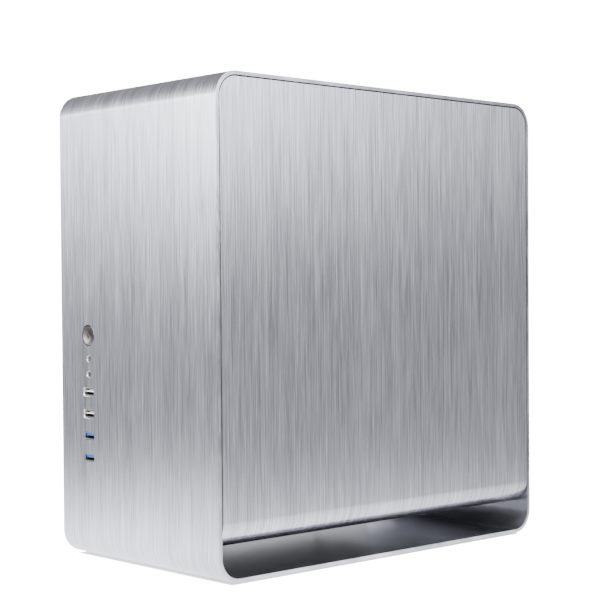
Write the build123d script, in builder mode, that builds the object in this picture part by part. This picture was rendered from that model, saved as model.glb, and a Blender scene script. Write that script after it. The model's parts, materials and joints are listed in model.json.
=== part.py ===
"""Micro-tower computer in a wrapped aluminium case.

Millimetres. +Z is up, the front faces -Y, and the origin is on the ground under the middle of the case.
One ring of aluminium sheet forms the front, top, back and floor. Two side panels close it, and each
rolls inwards at its lower edge over an air channel that runs through the case from side to side.
"""
import os
from math import cos, radians, sin, sqrt

from build123d import *

# ---- Case ------------------------------------------------------------------------------------------
case_width = 205.0
case_depth = 368.0
shell_height = 386.0
shell_wall = 3.0
corner_radius = 20.0
edge_chamfer = 0.5
foot_height = 1.5
foot_diameter = 20.0
foot_inset = 34.0
panel_thickness = 2.0
panel_gap = 0.9
panel_chamfer = 0.3
skirt_radius = 20.0
skirt_lip = 4.5
channel_height = 23.0
sheet = 1.2                       # folded aluminium sheet of the inner frame
frame_flange = 14.0
frame_strip = 8.0
frame_inset = 6.3                 # outer face of the side frames behind the case's side
stud_ball_diameter = 4.4
stud_clearance = 0.05
slide_gap = 0.3                   # between pieces that slide past each other

# ---- Front controls and sockets -------------------------------------------------------------------
control_x = -64.0
button_z = 186.1
button_diameter = 17.0
button_gap = 0.3
button_travel = 1.5
button_dish = 1.1
jack_pitch = 12.8
top_jack_z = 166.6
jack_ring_diameter = 6.2
jack_bore = 3.6
jack_depth = 14.5
usb_pitch = 18.1
top_usb_z = 139.2
usb_width = 13.1
usb_height = 5.7
usb_wall = 0.35
usb_gap = 0.35
usb_recess = 0.5
tongue_thickness = 1.8

# ---- Mother board ---------------------------------------------------------------------------------
tray_room = 15.3                  # between a side panel and the tray
standoff_height = 6.5
board_size = 244.0
board_thickness = 1.6
board_rear_gap = 3.0
board_floor_gap = 8.0
slot_pitch = 20.32
slot_count = 4
first_slot_height = 7.0           # centre of the lowest slot above the board's lower edge
io_length = 158.75
io_width = 44.45
shield_flange = 1.6
io_slot_gap = 2.8                 # between the top slot cover and the socket plate
cover_width = 18.42
cover_length = 118.0

# ---- Fans -----------------------------------------------------------------------------------------
fan_size = 120.0
fan_depth = 25.0
fan_flange = 4.0
fan_hub_diameter = 40.0
fan_shaft_diameter = 3.0
shaft_clearance = 0.05
blade_count = 7
blade_gap = 1.5

# ---- Power supply and drives ----------------------------------------------------------------------
psu_width = 150.0
psu_height = 86.0
psu_depth = 140.0
psu_sheet = 1.0
psu_top_gap = 0.5                 # below the start of the shell's upper bend
psu_shield_gap = 0.5              # least room between the power supply and the socket plate
psu_tray_gap = 9.0
drive_length = 147.0
drive_width = 101.6
drive_height = 26.1
drive_pitch = 36.0
ssd_length = 100.0
ssd_width = 69.85
ssd_height = 7.0

# ---- Places that follow from the sizes above ------------------------------------------------------
half_width = case_width / 2
front = -case_depth / 2
rear = case_depth / 2
inner_front = front + shell_wall
inner_rear = rear - shell_wall
shell_top = foot_height + shell_height
inner_top = shell_top - shell_wall
floor_top = foot_height + shell_wall
skirt_bottom = floor_top + channel_height
inner_radius = corner_radius - shell_wall
panel_inside = half_width - panel_thickness

plate_thickness = 1.5
plate_gap = 0.8                   # over the inside of the panels' rolled edges
frame_outside = half_width - frame_inset
skirt_centre_x = half_width - skirt_radius
skirt_centre_z = skirt_bottom + skirt_radius
bend_inside = skirt_radius - panel_thickness
tray_outside = panel_inside - tray_room
tray_inside = tray_outside - sheet
roll_reach = max(0.0, tray_outside - skirt_centre_x)
roll_rise = bend_inside - sqrt(bend_inside ** 2 - roll_reach ** 2)
plate_bottom = skirt_bottom + panel_thickness + roll_rise + plate_gap
plate_top = plate_bottom + plate_thickness

board_back = tray_inside - standoff_height
board_face = board_back - board_thickness
board_rear = inner_rear - board_rear_gap
board_front = board_rear - board_size
psu_bottom = inner_top - inner_radius - psu_top_gap - psu_height
slot_stack = first_slot_height + slot_pitch * (slot_count - 1) + cover_width / 2
io_stack = slot_stack + io_slot_gap + io_length + shield_flange
board_bottom = min(plate_top + board_floor_gap, psu_bottom - psu_shield_gap - io_stack)
board_top = board_bottom + board_size

BASE = (Align.CENTER, Align.CENTER, Align.MIN)
os.makedirs("parts", exist_ok=True)


def save(piece, name):
    """Label a finished piece and write it as one STEP file."""
    piece.label = name
    export_step(piece, f"parts/{name}.step")


def block(xs, ys, zs, mode=Mode.ADD):
    """A box between two corners, in the part that is being built."""
    middle = tuple((low + high) / 2 for low, high in (xs, ys, zs))
    with Locations(middle):
        Box(abs(xs[1] - xs[0]), abs(ys[1] - ys[0]), abs(zs[1] - zs[0]), mode=mode)


def facing_front(x, y, z):
    """A plane that looks out of the front: its x is +X and its y is +Z."""
    return Plane(origin=(x, y, z), x_dir=(1, 0, 0), z_dir=(0, -1, 0))


def facing_rear(x, y, z):
    """A plane that looks out of the back: its x is -X and its y is +Z."""
    return Plane(origin=(x, y, z), x_dir=(-1, 0, 0), z_dir=(0, 1, 0))


def off_board(x, y, z):
    """A plane that looks away from the mother board: its x is -Y and its y is +Z."""
    return Plane(origin=(x, y, z), x_dir=(0, -1, 0), z_dir=(-1, 0, 0))


# ===================================================================================================
# Case: wrapped shell, feet and side panels
# ===================================================================================================
usb_heights = [top_usb_z - usb_pitch * i for i in range(4)]
jack_heights = [top_jack_z, top_jack_z - jack_pitch]
button_hole = button_diameter + 2 * button_gap
jack_hole = jack_ring_diameter + 2 * button_gap

slot_heights = [board_bottom + first_slot_height + slot_pitch * i for i in range(slot_count)]
slot_window_height = 12.7
slot_right = board_face + 4.1
slot_left = slot_right - cover_length
io_right = board_face + 3.1
io_x = io_right - io_width / 2
io_bottom = board_bottom + slot_stack + io_slot_gap
io_z = io_bottom + io_length / 2
fan_pitch = fan_size * 0.875
fan_bore = fan_size - 6.0
rear_fan_x = -frame_outside + frame_strip + 0.7 + fan_size / 2
rear_fan_z = board_top - 4.0 - fan_size / 2
psu_x = tray_inside - psu_tray_gap - psu_width / 2
psu_z = psu_bottom + psu_height / 2
psu_window_margin = 12.0
corners = [(-1, -1), (-1, 1), (1, -1), (1, 1)]
rear_screw_places = [(psu_x + sx * (psu_width / 2 - 6), psu_z + sz * (psu_height / 2 - 6)) for sx, sz in corners]
rear_screw_places += [(rear_fan_x + sx * fan_pitch / 2, rear_fan_z + sz * fan_pitch / 2) for sx, sz in corners]
screw_radius = 1.8
screw_head_radius = 3.6
screw_head_height = 1.8
grille_pitch = 10.5
grille_slot = 7.0
grille_rings = 1 + int((fan_bore / 2 - grille_slot) / grille_pitch)
grille_spoke = 7.0

with BuildPart() as outer_shell:
    with BuildSketch(Plane.YZ):
        with Locations((0, foot_height + shell_height / 2)):
            RectangleRounded(case_depth, shell_height, corner_radius)
            RectangleRounded(case_depth - 2 * shell_wall, shell_height - 2 * shell_wall, inner_radius,
                             mode=Mode.SUBTRACT)
    extrude(amount=half_width, both=True)
    side_faces = outer_shell.faces().filter_by(Axis.X)
    side_faces = side_faces.filter_by(lambda face: abs(abs(face.center().X) - half_width) < 0.01)
    chamfer(side_faces.edges(), length=edge_chamfer)
    with BuildSketch(facing_front(control_x, inner_front, 0)):
        with Locations((0, button_z)):
            Circle(button_hole / 2)
        with Locations(*[(0, z) for z in jack_heights]):
            Circle(jack_hole / 2)
        with Locations(*[(0, z) for z in usb_heights]):
            RectangleRounded(usb_width + 2 * usb_gap, usb_height + 2 * usb_gap, 0.8)
    extrude(amount=shell_wall, mode=Mode.SUBTRACT)
    front_face = outer_shell.faces().filter_by(Axis.Y).sort_by(Axis.Y)[0]
    chamfer(front_face.inner_wires().edges(), length=edge_chamfer)
    with BuildSketch(Plane(origin=(0, rear, 0), x_dir=(1, 0, 0), z_dir=(0, -1, 0))):
        with Locations((io_x, io_z)):
            Rectangle(io_width, io_length)
        with Locations(*[((slot_left + slot_right) / 2, z) for z in slot_heights]):
            RectangleRounded(cover_length - 14, slot_window_height, 1.5)
        with Locations((psu_x, psu_z)):
            RectangleRounded(psu_width - 2 * psu_window_margin, psu_height - 8, 2)
        with Locations(*rear_screw_places):
            Circle(screw_radius)
    extrude(amount=shell_wall, mode=Mode.SUBTRACT)
    with BuildSketch(Plane(origin=(rear_fan_x, rear, rear_fan_z), x_dir=(1, 0, 0), z_dir=(0, -1, 0))):
        for ring in range(grille_rings):
            Circle(fan_bore / 2 - ring * grille_pitch)
            Circle(fan_bore / 2 - ring * grille_pitch - grille_slot, mode=Mode.SUBTRACT)
        with PolarLocations(fan_bore / 4, 4, start_angle=45):
            Rectangle(fan_bore / 2 + 4, grille_spoke, mode=Mode.SUBTRACT)
    extrude(amount=shell_wall, mode=Mode.SUBTRACT)
    for x, z in rear_screw_places:
        with BuildSketch(facing_rear(x, rear, z)):
            Circle(screw_head_radius)
        with BuildSketch(facing_rear(x, rear - screw_head_height, z)):
            Circle(screw_radius)
        loft(mode=Mode.SUBTRACT)
save(outer_shell.part, "outer_shell")

foot_x = half_width - foot_inset
foot_y = case_depth / 2 - foot_inset
with BuildPart() as feet:
    with GridLocations(2 * foot_x, 2 * foot_y, 2, 2):
        Cylinder(foot_diameter / 2, foot_height, align=BASE)
    chamfer(feet.faces().sort_by(Axis.Z)[:4].edges(), length=0.5)
save(feet.part, "feet")

panel_depth = case_depth - 2 * shell_wall - 2 * panel_gap
panel_top = inner_top - panel_gap
panel_corner = inner_radius - panel_gap


def side_panel(side):
    """One side panel: a flat sheet whose lower edge rolls inwards and ends in a short lip."""
    lip_end = side * (skirt_centre_x - skirt_lip)
    diagonal = sin(radians(45))
    with BuildPart() as panel:
        with BuildSketch(Plane.XZ):
            with BuildLine():
                outer = ThreePointArc(
                    (side * half_width, skirt_centre_z),
                    (side * (skirt_centre_x + skirt_radius * diagonal),
                     skirt_centre_z - skirt_radius * diagonal),
                    (side * skirt_centre_x, skirt_bottom))
                Line(outer @ 1, (lip_end, skirt_bottom))
                Line((lip_end, skirt_bottom), (lip_end, skirt_bottom + panel_thickness))
                Line((lip_end, skirt_bottom + panel_thickness),
                     (side * skirt_centre_x, skirt_bottom + panel_thickness))
                inner = ThreePointArc(
                    (side * skirt_centre_x, skirt_bottom + panel_thickness),
                    (side * (skirt_centre_x + bend_inside * diagonal), skirt_centre_z - bend_inside * diagonal),
                    (side * panel_inside, skirt_centre_z))
                Line(inner @ 1, (side * panel_inside, panel_top))
                Line((side * panel_inside, panel_top), (side * half_width, panel_top))
                Line((side * half_width, panel_top), outer @ 0)
            make_face()
        extrude(amount=panel_depth / 2, both=True)
        top_corners = panel.edges().filter_by(Axis.X).group_by(Axis.Z)[-1]
        fillet(top_corners, radius=panel_corner)
        outer_faces = panel.faces().filter_by(Axis.X).sort_by(Axis.X)
        outer_face = outer_faces[-1] if side > 0 else outer_faces[0]
        rim = outer_face.edges().filter_by(lambda edge: edge.center().Z > skirt_centre_z + 1)
        chamfer(rim, length=panel_chamfer)
    return panel.part


left_side_panel = side_panel(-1)
right_side_panel = side_panel(1)
save(left_side_panel, "left_side_panel")
save(right_side_panel, "right_side_panel")

# Each panel snaps on with ball studs that push into plastic clips in the side frame.
stud_y = inner_rear - frame_flange / 2 - 0.8
stud_places = [(y, z) for y in (-stud_y, stud_y) for z in (skirt_centre_z + 32, inner_top - 44)]
stud_places += [(y, inner_top - frame_flange / 2 - 0.8) for y in (-70, 70)]


def stud_planes(side, x):
    """One plane for each stud, looking inwards from the side panel."""
    return [Plane(origin=(side * x, y, z), x_dir=(0, -side, 0), z_dir=(-side, 0, 0)) for y, z in stud_places]


def panel_studs(side):
    """Ball studs on the inner face of a panel: a base, a neck and a ball."""
    base_height = 1.6
    neck_height = 6.0
    with BuildPart(*stud_planes(side, panel_inside)) as studs:
        Cylinder(4.5, base_height, align=BASE)
        Cylinder(1.4, neck_height, align=BASE)
        with Locations((0, 0, neck_height)):
            Sphere(stud_ball_diameter / 2)
    return studs.part


save(panel_studs(-1), "left_panel_studs")
save(panel_studs(1), "right_panel_studs")

clip_bore = stud_ball_diameter / 2 + stud_clearance
clip_body_radius = 4.0
with BuildPart(*(stud_planes(-1, frame_outside) + stud_planes(1, frame_outside))) as stud_clips:
    with Locations((0, 0, -sheet)):
        Cylinder(5.5, sheet, align=BASE)
    Cylinder(clip_body_radius, 5.0, align=BASE)
    with Locations((0, 0, -sheet)):
        Cylinder(clip_bore, 5.0 + 2 * sheet, align=BASE, mode=Mode.SUBTRACT)
save(stud_clips.part, "stud_clips")

# ===================================================================================================
# Inner frame
# ===================================================================================================
def side_frame(side):
    """A hoop of folded sheet inside the shell that the clips and a side panel sit on."""
    rail_bottom = skirt_centre_z + 2
    width = case_depth - 2 * shell_wall
    height = shell_height - 2 * shell_wall
    centre_z = floor_top + height / 2
    with BuildPart() as frame:
        with BuildSketch(Plane.YZ.offset(side * frame_outside)):
            with Locations((0, centre_z)):
                RectangleRounded(width, height, inner_radius)
            window_height = inner_top - frame_flange - (rail_bottom + frame_flange)
            with Locations((0, rail_bottom + frame_flange + window_height / 2)):
                RectangleRounded(width - 2 * frame_flange, window_height, 6, mode=Mode.SUBTRACT)
            with Locations((0, rail_bottom / 2)):
                Rectangle(width, rail_bottom, mode=Mode.SUBTRACT)
            with Locations(*stud_places):
                Circle(clip_body_radius, mode=Mode.SUBTRACT)
        extrude(amount=-side * sheet)
        with BuildSketch(Plane.YZ.offset(side * frame_outside)):
            with Locations((0, centre_z)):
                RectangleRounded(width, height, inner_radius)
                RectangleRounded(width - 2 * sheet, height - 2 * sheet, inner_radius - sheet,
                                 mode=Mode.SUBTRACT)
            with Locations((0, rail_bottom / 2)):
                Rectangle(width, rail_bottom, mode=Mode.SUBTRACT)
        extrude(amount=-side * frame_strip)
    return frame.part


save(side_frame(-1), "left_side_frame")
save(side_frame(1), "right_side_frame")

bottom_fan_x = -8.0
front_fan_y = inner_front + 9.0 + fan_size / 2
back_fan_y = front_fan_y + fan_size + 8.0
bottom_fan_places = [(bottom_fan_x, front_fan_y), (bottom_fan_x, back_fan_y)]
with BuildPart() as bottom_plate:
    block((-tray_outside, tray_outside), (inner_front, inner_rear), (plate_bottom, plate_top))
    block((-tray_outside, tray_inside), (inner_front, inner_front + sheet), (plate_top, plate_top + 14))
    block((-tray_outside, tray_inside), (inner_rear - sheet, inner_rear), (plate_top, board_bottom - 5))
    with BuildSketch(Plane.XY.offset(plate_bottom)):
        with Locations(*bottom_fan_places):
            Circle(fan_bore / 2)
            with GridLocations(fan_pitch, fan_pitch, 2, 2):
                Circle(2.2)
    extrude(amount=plate_thickness, mode=Mode.SUBTRACT)
save(bottom_plate.part, "bottom_plate")

tray_front = board_front - 84.0
with BuildPart() as motherboard_tray:
    block((tray_inside, tray_outside), (tray_front, inner_rear), (plate_top, inner_top))
    rear_top_edge = motherboard_tray.edges().filter_by(Axis.X).group_by(Axis.Z)[-1].sort_by(Axis.Y)[-1]
    fillet(rear_top_edge, radius=inner_radius)
    block((tray_inside - 6, tray_inside), (tray_front, inner_rear - inner_radius),
          (inner_top - sheet, inner_top))
    block((tray_inside - 8, tray_inside), (tray_front, inner_rear - 6), (plate_top, plate_top + sheet))
    # Opening behind the processor, so that a cooler's back plate can be reached
    with BuildSketch(Plane.YZ.offset(tray_inside)):
        with Locations((board_rear - 84, board_top - 80)):
            RectangleRounded(110, 110, 8)
        with Locations((board_front - 12, board_bottom + 190)):
            RectangleRounded(16, 70, 7)
        with Locations((board_front - 12, board_bottom + 40)):
            RectangleRounded(16, 50, 7)
    extrude(amount=sheet, mode=Mode.SUBTRACT)
save(motherboard_tray.part, "motherboard_tray")

# Pull-out dust filter under the bottom fans
filter_front = inner_front + 4.0
filter_rear = back_fan_y + fan_size / 2 + 5.0
filter_left = bottom_fan_x - fan_size / 2 - 4.0
filter_right = bottom_fan_x + fan_size / 2 + 4.0
filter_top = skirt_bottom - 0.5
filter_thickness = 2.0
filter_bottom = filter_top - filter_thickness
rail_web = 1.5
rail_reach = 3.0


def filter_rail(outside, inside):
    """A channel along X, open towards the filter, from the bottom plate to just under the filter."""
    direction = 1 if inside > outside else -1
    edge = outside + direction * (rail_web + slide_gap)
    reach = edge + direction * rail_reach
    xs = (filter_left, filter_right)
    block(xs, (outside, outside + direction * rail_web), (filter_bottom - slide_gap - rail_web, plate_bottom))
    block(xs, (outside, reach), (filter_bottom - slide_gap - rail_web, filter_bottom - slide_gap))
    block(xs, (outside, reach), (filter_top + slide_gap, plate_bottom))


with BuildPart() as filter_rails:
    filter_rail(filter_front - rail_web - slide_gap, filter_rear)
    filter_rail(filter_rear + rail_web + slide_gap, filter_front)
save(filter_rails.part, "filter_rails")

filter_border = 6.0
filter_middle = (front_fan_y + back_fan_y) / 2
mesh_thickness = 0.6
filter_windows = [(filter_front + filter_border, filter_middle - 2),
                  (filter_middle + 2, filter_rear - filter_border)]
mesh_low = filter_bottom + 0.7
with BuildPart() as filter_tray:
    block((filter_left, filter_right), (filter_front, filter_rear), (filter_bottom, filter_top))
    for y0, y1 in filter_windows:
        block((filter_left + filter_border, filter_right - filter_border), (y0, y1),
              (filter_bottom, filter_top), mode=Mode.SUBTRACT)
    # Finger pull on the left edge
    block((filter_left - 4, filter_left), (filter_middle - 20, filter_middle + 20), (filter_bottom, filter_top))
save(filter_tray.part, "filter_tray")

with BuildPart() as filter_mesh:
    for y0, y1 in filter_windows:
        block((filter_left + filter_border, filter_right - filter_border), (y0, y1),
              (mesh_low, mesh_low + mesh_thickness))
save(filter_mesh.part, "filter_mesh")

# ===================================================================================================
# Fans
# ===================================================================================================
hub_plate = 3.0
hub_bottom = fan_depth - hub_plate
shaft_end = fan_depth - 1.0
bearing_radius = 4.0
bearing_base = 6.0


def fan_frame():
    """A square fan frame about Z, from its inlet face at Z = 0: two flanges, a duct, a motor seat."""
    bore = fan_bore / 2
    hub = fan_hub_diameter / 2
    with BuildPart() as frame:
        with BuildSketch(Plane.XY, Plane.XY.offset(fan_depth - fan_flange)):
            RectangleRounded(fan_size, fan_size, 6)
            Circle(bore, mode=Mode.SUBTRACT)
            with GridLocations(fan_pitch, fan_pitch, 2, 2):
                Circle(2.2, mode=Mode.SUBTRACT)
        extrude(amount=fan_flange)
        with BuildSketch():
            Circle(bore + 1.6)
            Circle(bore, mode=Mode.SUBTRACT)
        extrude(amount=fan_depth)
        with BuildSketch(Plane.XY.offset(hub_bottom)):
            Circle(hub)
            with PolarLocations((hub + bore) / 2, 4, start_angle=20):
                Rectangle(bore - hub + 3, 3.5)
        extrude(amount=hub_plate)
        with Locations((0, 0, bearing_base)):
            Cylinder(bearing_radius, hub_bottom - bearing_base, align=BASE)
            Cylinder(fan_shaft_diameter / 2 + shaft_clearance, shaft_end - bearing_base, align=BASE,
                     mode=Mode.SUBTRACT)
    return frame.part


def fan_rotor():
    """The hub, shaft and curved blades that turn inside a fan frame."""
    hub = fan_hub_diameter / 2
    tip = fan_bore / 2 - blade_gap
    hub_front = 1.5
    hub_rear = hub_bottom - 0.6
    middle = (hub_front + hub_rear) / 2
    reach = 13.0
    rise = 8.0
    with BuildPart() as blade:
        with BuildSketch(Plane(origin=(hub * 0.6, 0, middle), x_dir=(0, 1, 0), z_dir=(1, 0, 0))):
            with BuildLine(mode=Mode.PRIVATE) as camber:
                ThreePointArc((-reach, -rise), (-2.5, 2.5), (reach, rise))
            SlotArc(camber.edge(), 1.5)
        extrude(amount=tip)
        Cylinder(tip, 4 * fan_depth, mode=Mode.INTERSECT)
    with BuildPart() as rotor:
        with Locations((0, 0, hub_front)):
            Cylinder(hub, hub_rear - hub_front, align=BASE)
        fillet(rotor.edges().filter_by(GeomType.CIRCLE).sort_by(Axis.Z)[0], radius=1.5)
        with PolarLocations(0, blade_count):
            add(blade.part)
        with Locations((0, 0, hub_front + 1.5)):
            Cylinder(hub - 1.5, fan_depth, align=BASE, mode=Mode.SUBTRACT)
        with Locations((0, 0, hub_front)):
            Cylinder(fan_shaft_diameter / 2, shaft_end - 0.3 - hub_front, align=BASE)
    return rotor.part


frame_shape = fan_frame()
rotor_shape = fan_rotor()


def place(shape, *planes):
    """Copies of a shape that was drawn about Z, one on each plane."""
    with BuildPart(*planes) as placed:
        add(shape)
    return placed.part


cooler_y = board_rear - 83.0
cooler_z = board_top - 79.0
fin_depth = 50.0
cooler_tip = -(panel_inside - 21.0)
fan_planes = {
    "rear_fan": Plane(origin=(rear_fan_x, inner_rear - fan_depth, rear_fan_z),
                      x_dir=(1, 0, 0), z_dir=(0, 1, 0)),
    "cooler_fan": Plane(origin=(cooler_tip - 4 + fan_size / 2, cooler_y - fin_depth / 2 - fan_depth, cooler_z),
                        x_dir=(1, 0, 0), z_dir=(0, 1, 0)),
    "front_bottom_fan": Plane(origin=(bottom_fan_x, front_fan_y, plate_top), x_dir=(1, 0, 0), z_dir=(0, 0, 1)),
    "back_bottom_fan": Plane(origin=(bottom_fan_x, back_fan_y, plate_top), x_dir=(1, 0, 0), z_dir=(0, 0, 1)),
    "psu_fan": Plane(origin=(psu_x, inner_rear - psu_depth / 2 - 2, psu_bottom + psu_sheet),
                     x_dir=(1, 0, 0), z_dir=(0, 0, 1)),
}
for fan_name, fan_plane in fan_planes.items():
    save(place(rotor_shape, fan_plane), f"{fan_name}_rotor")
    if "bottom" not in fan_name:
        save(place(frame_shape, fan_plane), f"{fan_name}_frame")
save(place(frame_shape, fan_planes["front_bottom_fan"], fan_planes["back_bottom_fan"]), "bottom_fan_frames")

# ===================================================================================================
# Mother board and what it carries
# ===================================================================================================
hole_rows = [board_bottom + 7, board_bottom + 81, board_top - 7]
hole_columns = [board_rear - 10, board_front + 79, board_front + 7]
board_holes = [(y, z) for z in hole_rows for y in hole_columns]
screw_shank = 1.5

with BuildPart() as motherboard:
    block((board_face, board_back), (board_front, board_rear), (board_bottom, board_top))
    with BuildSketch(Plane.YZ.offset(board_face)):
        with Locations(*board_holes):
            Circle(screw_shank)
    extrude(amount=board_thickness, mode=Mode.SUBTRACT)
save(motherboard.part, "motherboard")

with BuildPart() as standoffs:
    with BuildSketch(Plane.YZ.offset(board_back)):
        with Locations(*board_holes):
            RegularPolygon(3.0, 6)
    extrude(amount=standoff_height)
save(standoffs.part, "standoffs")

socket_height = 4.0
chip_height = 3.5
with BuildPart(off_board(board_face, cooler_y, cooler_z)) as processor_socket:
    Box(50, 56, socket_height, align=BASE)
    with Locations((0, 0, 1)):
        Box(37.5, 37.5, socket_height, align=BASE, mode=Mode.SUBTRACT)
save(processor_socket.part, "processor_socket")

with BuildPart(off_board(board_face - 1, cooler_y, cooler_z)) as processor:
    Box(37.5, 37.5, 1.2, align=BASE)
    with Locations((0, 0, 1.2)):
        Box(32, 32, socket_height - 1 + chip_height - 1.2, align=BASE)
save(processor.part, "processor")

base_foot = board_face - socket_height - chip_height
base_height = 10.0
pipe_radius = 3.0
fin_root = base_foot - 38.0
pipe_rows = [(-13.5, 22), (-4.5, 36), (4.5, 36), (13.5, 22)]
with BuildPart() as cooler_heat_pipes:
    block((base_foot - base_height, base_foot), (cooler_y - 20, cooler_y + 20), (cooler_z - 20, cooler_z + 20))
    for y_offset, spread in pipe_rows:
        run = base_foot - 4.5
        with BuildLine() as pipe_path:
            FilletPolyline((cooler_tip + 2, cooler_y + y_offset, cooler_z + spread),
                           (run - 16, cooler_y + y_offset, cooler_z + spread),
                           (run, cooler_y + y_offset, cooler_z + 14),
                           (run, cooler_y + y_offset, cooler_z - 14),
                           (run - 16, cooler_y + y_offset, cooler_z - spread),
                           (cooler_tip + 2, cooler_y + y_offset, cooler_z - spread), radius=6)
        with BuildSketch(Plane(origin=pipe_path.line @ 0, z_dir=pipe_path.line % 0)):
            Circle(pipe_radius)
        sweep(path=pipe_path.line)
save(cooler_heat_pipes.part, "cooler_heat_pipes")

fin_thickness = 0.5
fin_pitch = 2.6
fin_count = int((fin_root - cooler_tip - 4) / fin_pitch)
fin_planes = [Plane.YZ.offset(fin_root - fin_pitch * i) for i in range(fin_count)]
with BuildPart() as cooler_fins:
    with BuildSketch(*fin_planes):
        with Locations((cooler_y, cooler_z)):
            RectangleRounded(fin_depth, fan_size - 2, 3)
        for y_offset, spread in pipe_rows:
            with Locations((cooler_y + y_offset, cooler_z + spread), (cooler_y + y_offset, cooler_z - spread)):
                Circle(pipe_radius, mode=Mode.SUBTRACT)
    extrude(amount=-fin_thickness)
save(cooler_fins.part, "cooler_fins")

module_slots = 4
module_pitch = 9.5
module_board = 1.3
slot_body = 8.0
slot_groove = 5.0
module_z = board_top - 12 - 71
first_module_y = cooler_y - fin_depth / 2 - fan_depth - 12
module_ys = [first_module_y - module_pitch * i for i in range(module_slots)]
card_connector_height = 11.0
connector_lengths = [89.0, 25.0, 89.0, 25.0]
with BuildPart() as board_slots:
    for y in module_ys:
        block((board_face - slot_body, board_face), (y - 3.2, y + 3.2), (module_z - 71, module_z + 71))
        block((board_face - slot_body - 6, board_face - slot_body), (y - 3.2, y + 3.2),
              (module_z - 71, module_z - 67.5))
        block((board_face - slot_body - 6, board_face - slot_body), (y - 3.2, y + 3.2),
              (module_z + 67.5, module_z + 71))
        block((board_face - slot_body, board_face - slot_body + slot_groove),
              (y - module_board / 2, y + module_board / 2), (module_z - 66.7, module_z + 66.7),
              mode=Mode.SUBTRACT)
    for z, length in zip(slot_heights, connector_lengths):
        start = board_rear - 52
        block((board_face - card_connector_height, board_face), (start - length, start), (z - 3.7, z + 3.7))
        block((board_face - card_connector_height, board_face - 3), (start - length + 2, start - 2),
              (z - 0.9, z + 0.9), mode=Mode.SUBTRACT)
save(board_slots.part, "board_slots")
module_height = 31.25
module_foot = board_face - slot_body + slot_groove
with BuildPart() as memory_modules:
    for y in module_ys[0::2]:
        block((module_foot - module_height, module_foot), (y - module_board / 2, y + module_board / 2),
              (module_z - 66.7, module_z + 66.7))
        for i in range(8):
            chip_z = module_z - 66.7 + 10 + i * 16.2
            block((module_foot - 20, module_foot - 8), (y - module_board / 2 - 1, y + module_board / 2 + 1),
                  (chip_z - 4.5, chip_z + 4.5))
save(memory_modules.part, "memory_modules")


# Sockets at the back edge of the board. Each stack is a height above the I/O opening's lower end.
port_front = board_rear - 17
port_rear = inner_rear + 1.5
usb_stacks = [io_bottom + 140, io_bottom + 84, io_bottom + 66]
network_z = io_bottom + 45
video_sockets = [(io_bottom + 119, 15.2, 6.2), (io_bottom + 102, 16.6, 6.2)]
audio_z = io_bottom + 19
audio_places = [(board_face - 6.0 - 12.5 * row, audio_z + side * 6.6) for row in range(3) for side in (-1, 1)]
usb_stack_rise = [3.7 + usb_height / 2, 3.7 + usb_height / 2 + 7.9]
with BuildPart() as rear_sockets:
    for z in usb_stacks:
        block((board_face - 16.6, board_face), (port_front, port_rear), (z - 7.2, z + 7.2))
        for rise in usb_stack_rise:
            block((board_face - rise - usb_height / 2 + 0.4, board_face - rise + usb_height / 2 - 0.4),
                  (port_rear - 11, port_rear), (z - 6.2, z + 6.2), mode=Mode.SUBTRACT)
    for z, width, height in video_sockets:
        block((board_face - 1.5 - height, board_face), (port_front, port_rear), (z - width / 2, z + width / 2))
        block((board_face - 1.5 - height + 0.6, board_face - 2.1), (port_rear - 9, port_rear),
              (z - width / 2 + 0.6, z + width / 2 - 0.6), mode=Mode.SUBTRACT)
    block((board_face - 13.6, board_face), (port_front - 4, port_rear), (network_z - 8, network_z + 8))
    block((board_face - 11.5, board_face - 3.0), (port_rear - 13, port_rear),
          (network_z - 5.9, network_z + 5.9), mode=Mode.SUBTRACT)
    block((board_face - 3.0, board_face - 1.2), (port_rear - 13, port_rear), (network_z - 2, network_z + 2),
          mode=Mode.SUBTRACT)
save(rear_sockets.part, "rear_sockets")

with BuildPart() as rear_usb_tongues:
    for z in usb_stacks:
        for rise in usb_stack_rise:
            block((board_face - rise + 0.25, board_face - rise + 0.25 + tongue_thickness - 0.2),
                  (port_rear - 11, port_rear - 1), (z - 5.4, z + 5.4))
save(rear_usb_tongues.part, "rear_usb_tongues")

with BuildPart() as rear_audio_sockets:
    block((board_face - 37, board_face), (port_front, inner_rear - 1.4), (audio_z - 13, audio_z + 13))
    with BuildSketch(Plane(origin=(0, inner_rear - 1.4, 0), x_dir=(1, 0, 0), z_dir=(0, -1, 0))):
        with Locations(*audio_places):
            Circle(3.4)
    extrude(amount=-(port_rear - inner_rear + 1.4))
    with BuildSketch(Plane(origin=(0, port_rear, 0), x_dir=(1, 0, 0), z_dir=(0, -1, 0))):
        with Locations(*audio_places):
            Circle(jack_bore / 2)
    extrude(amount=14, mode=Mode.SUBTRACT)
save(rear_audio_sockets.part, "rear_audio_sockets")

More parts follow.
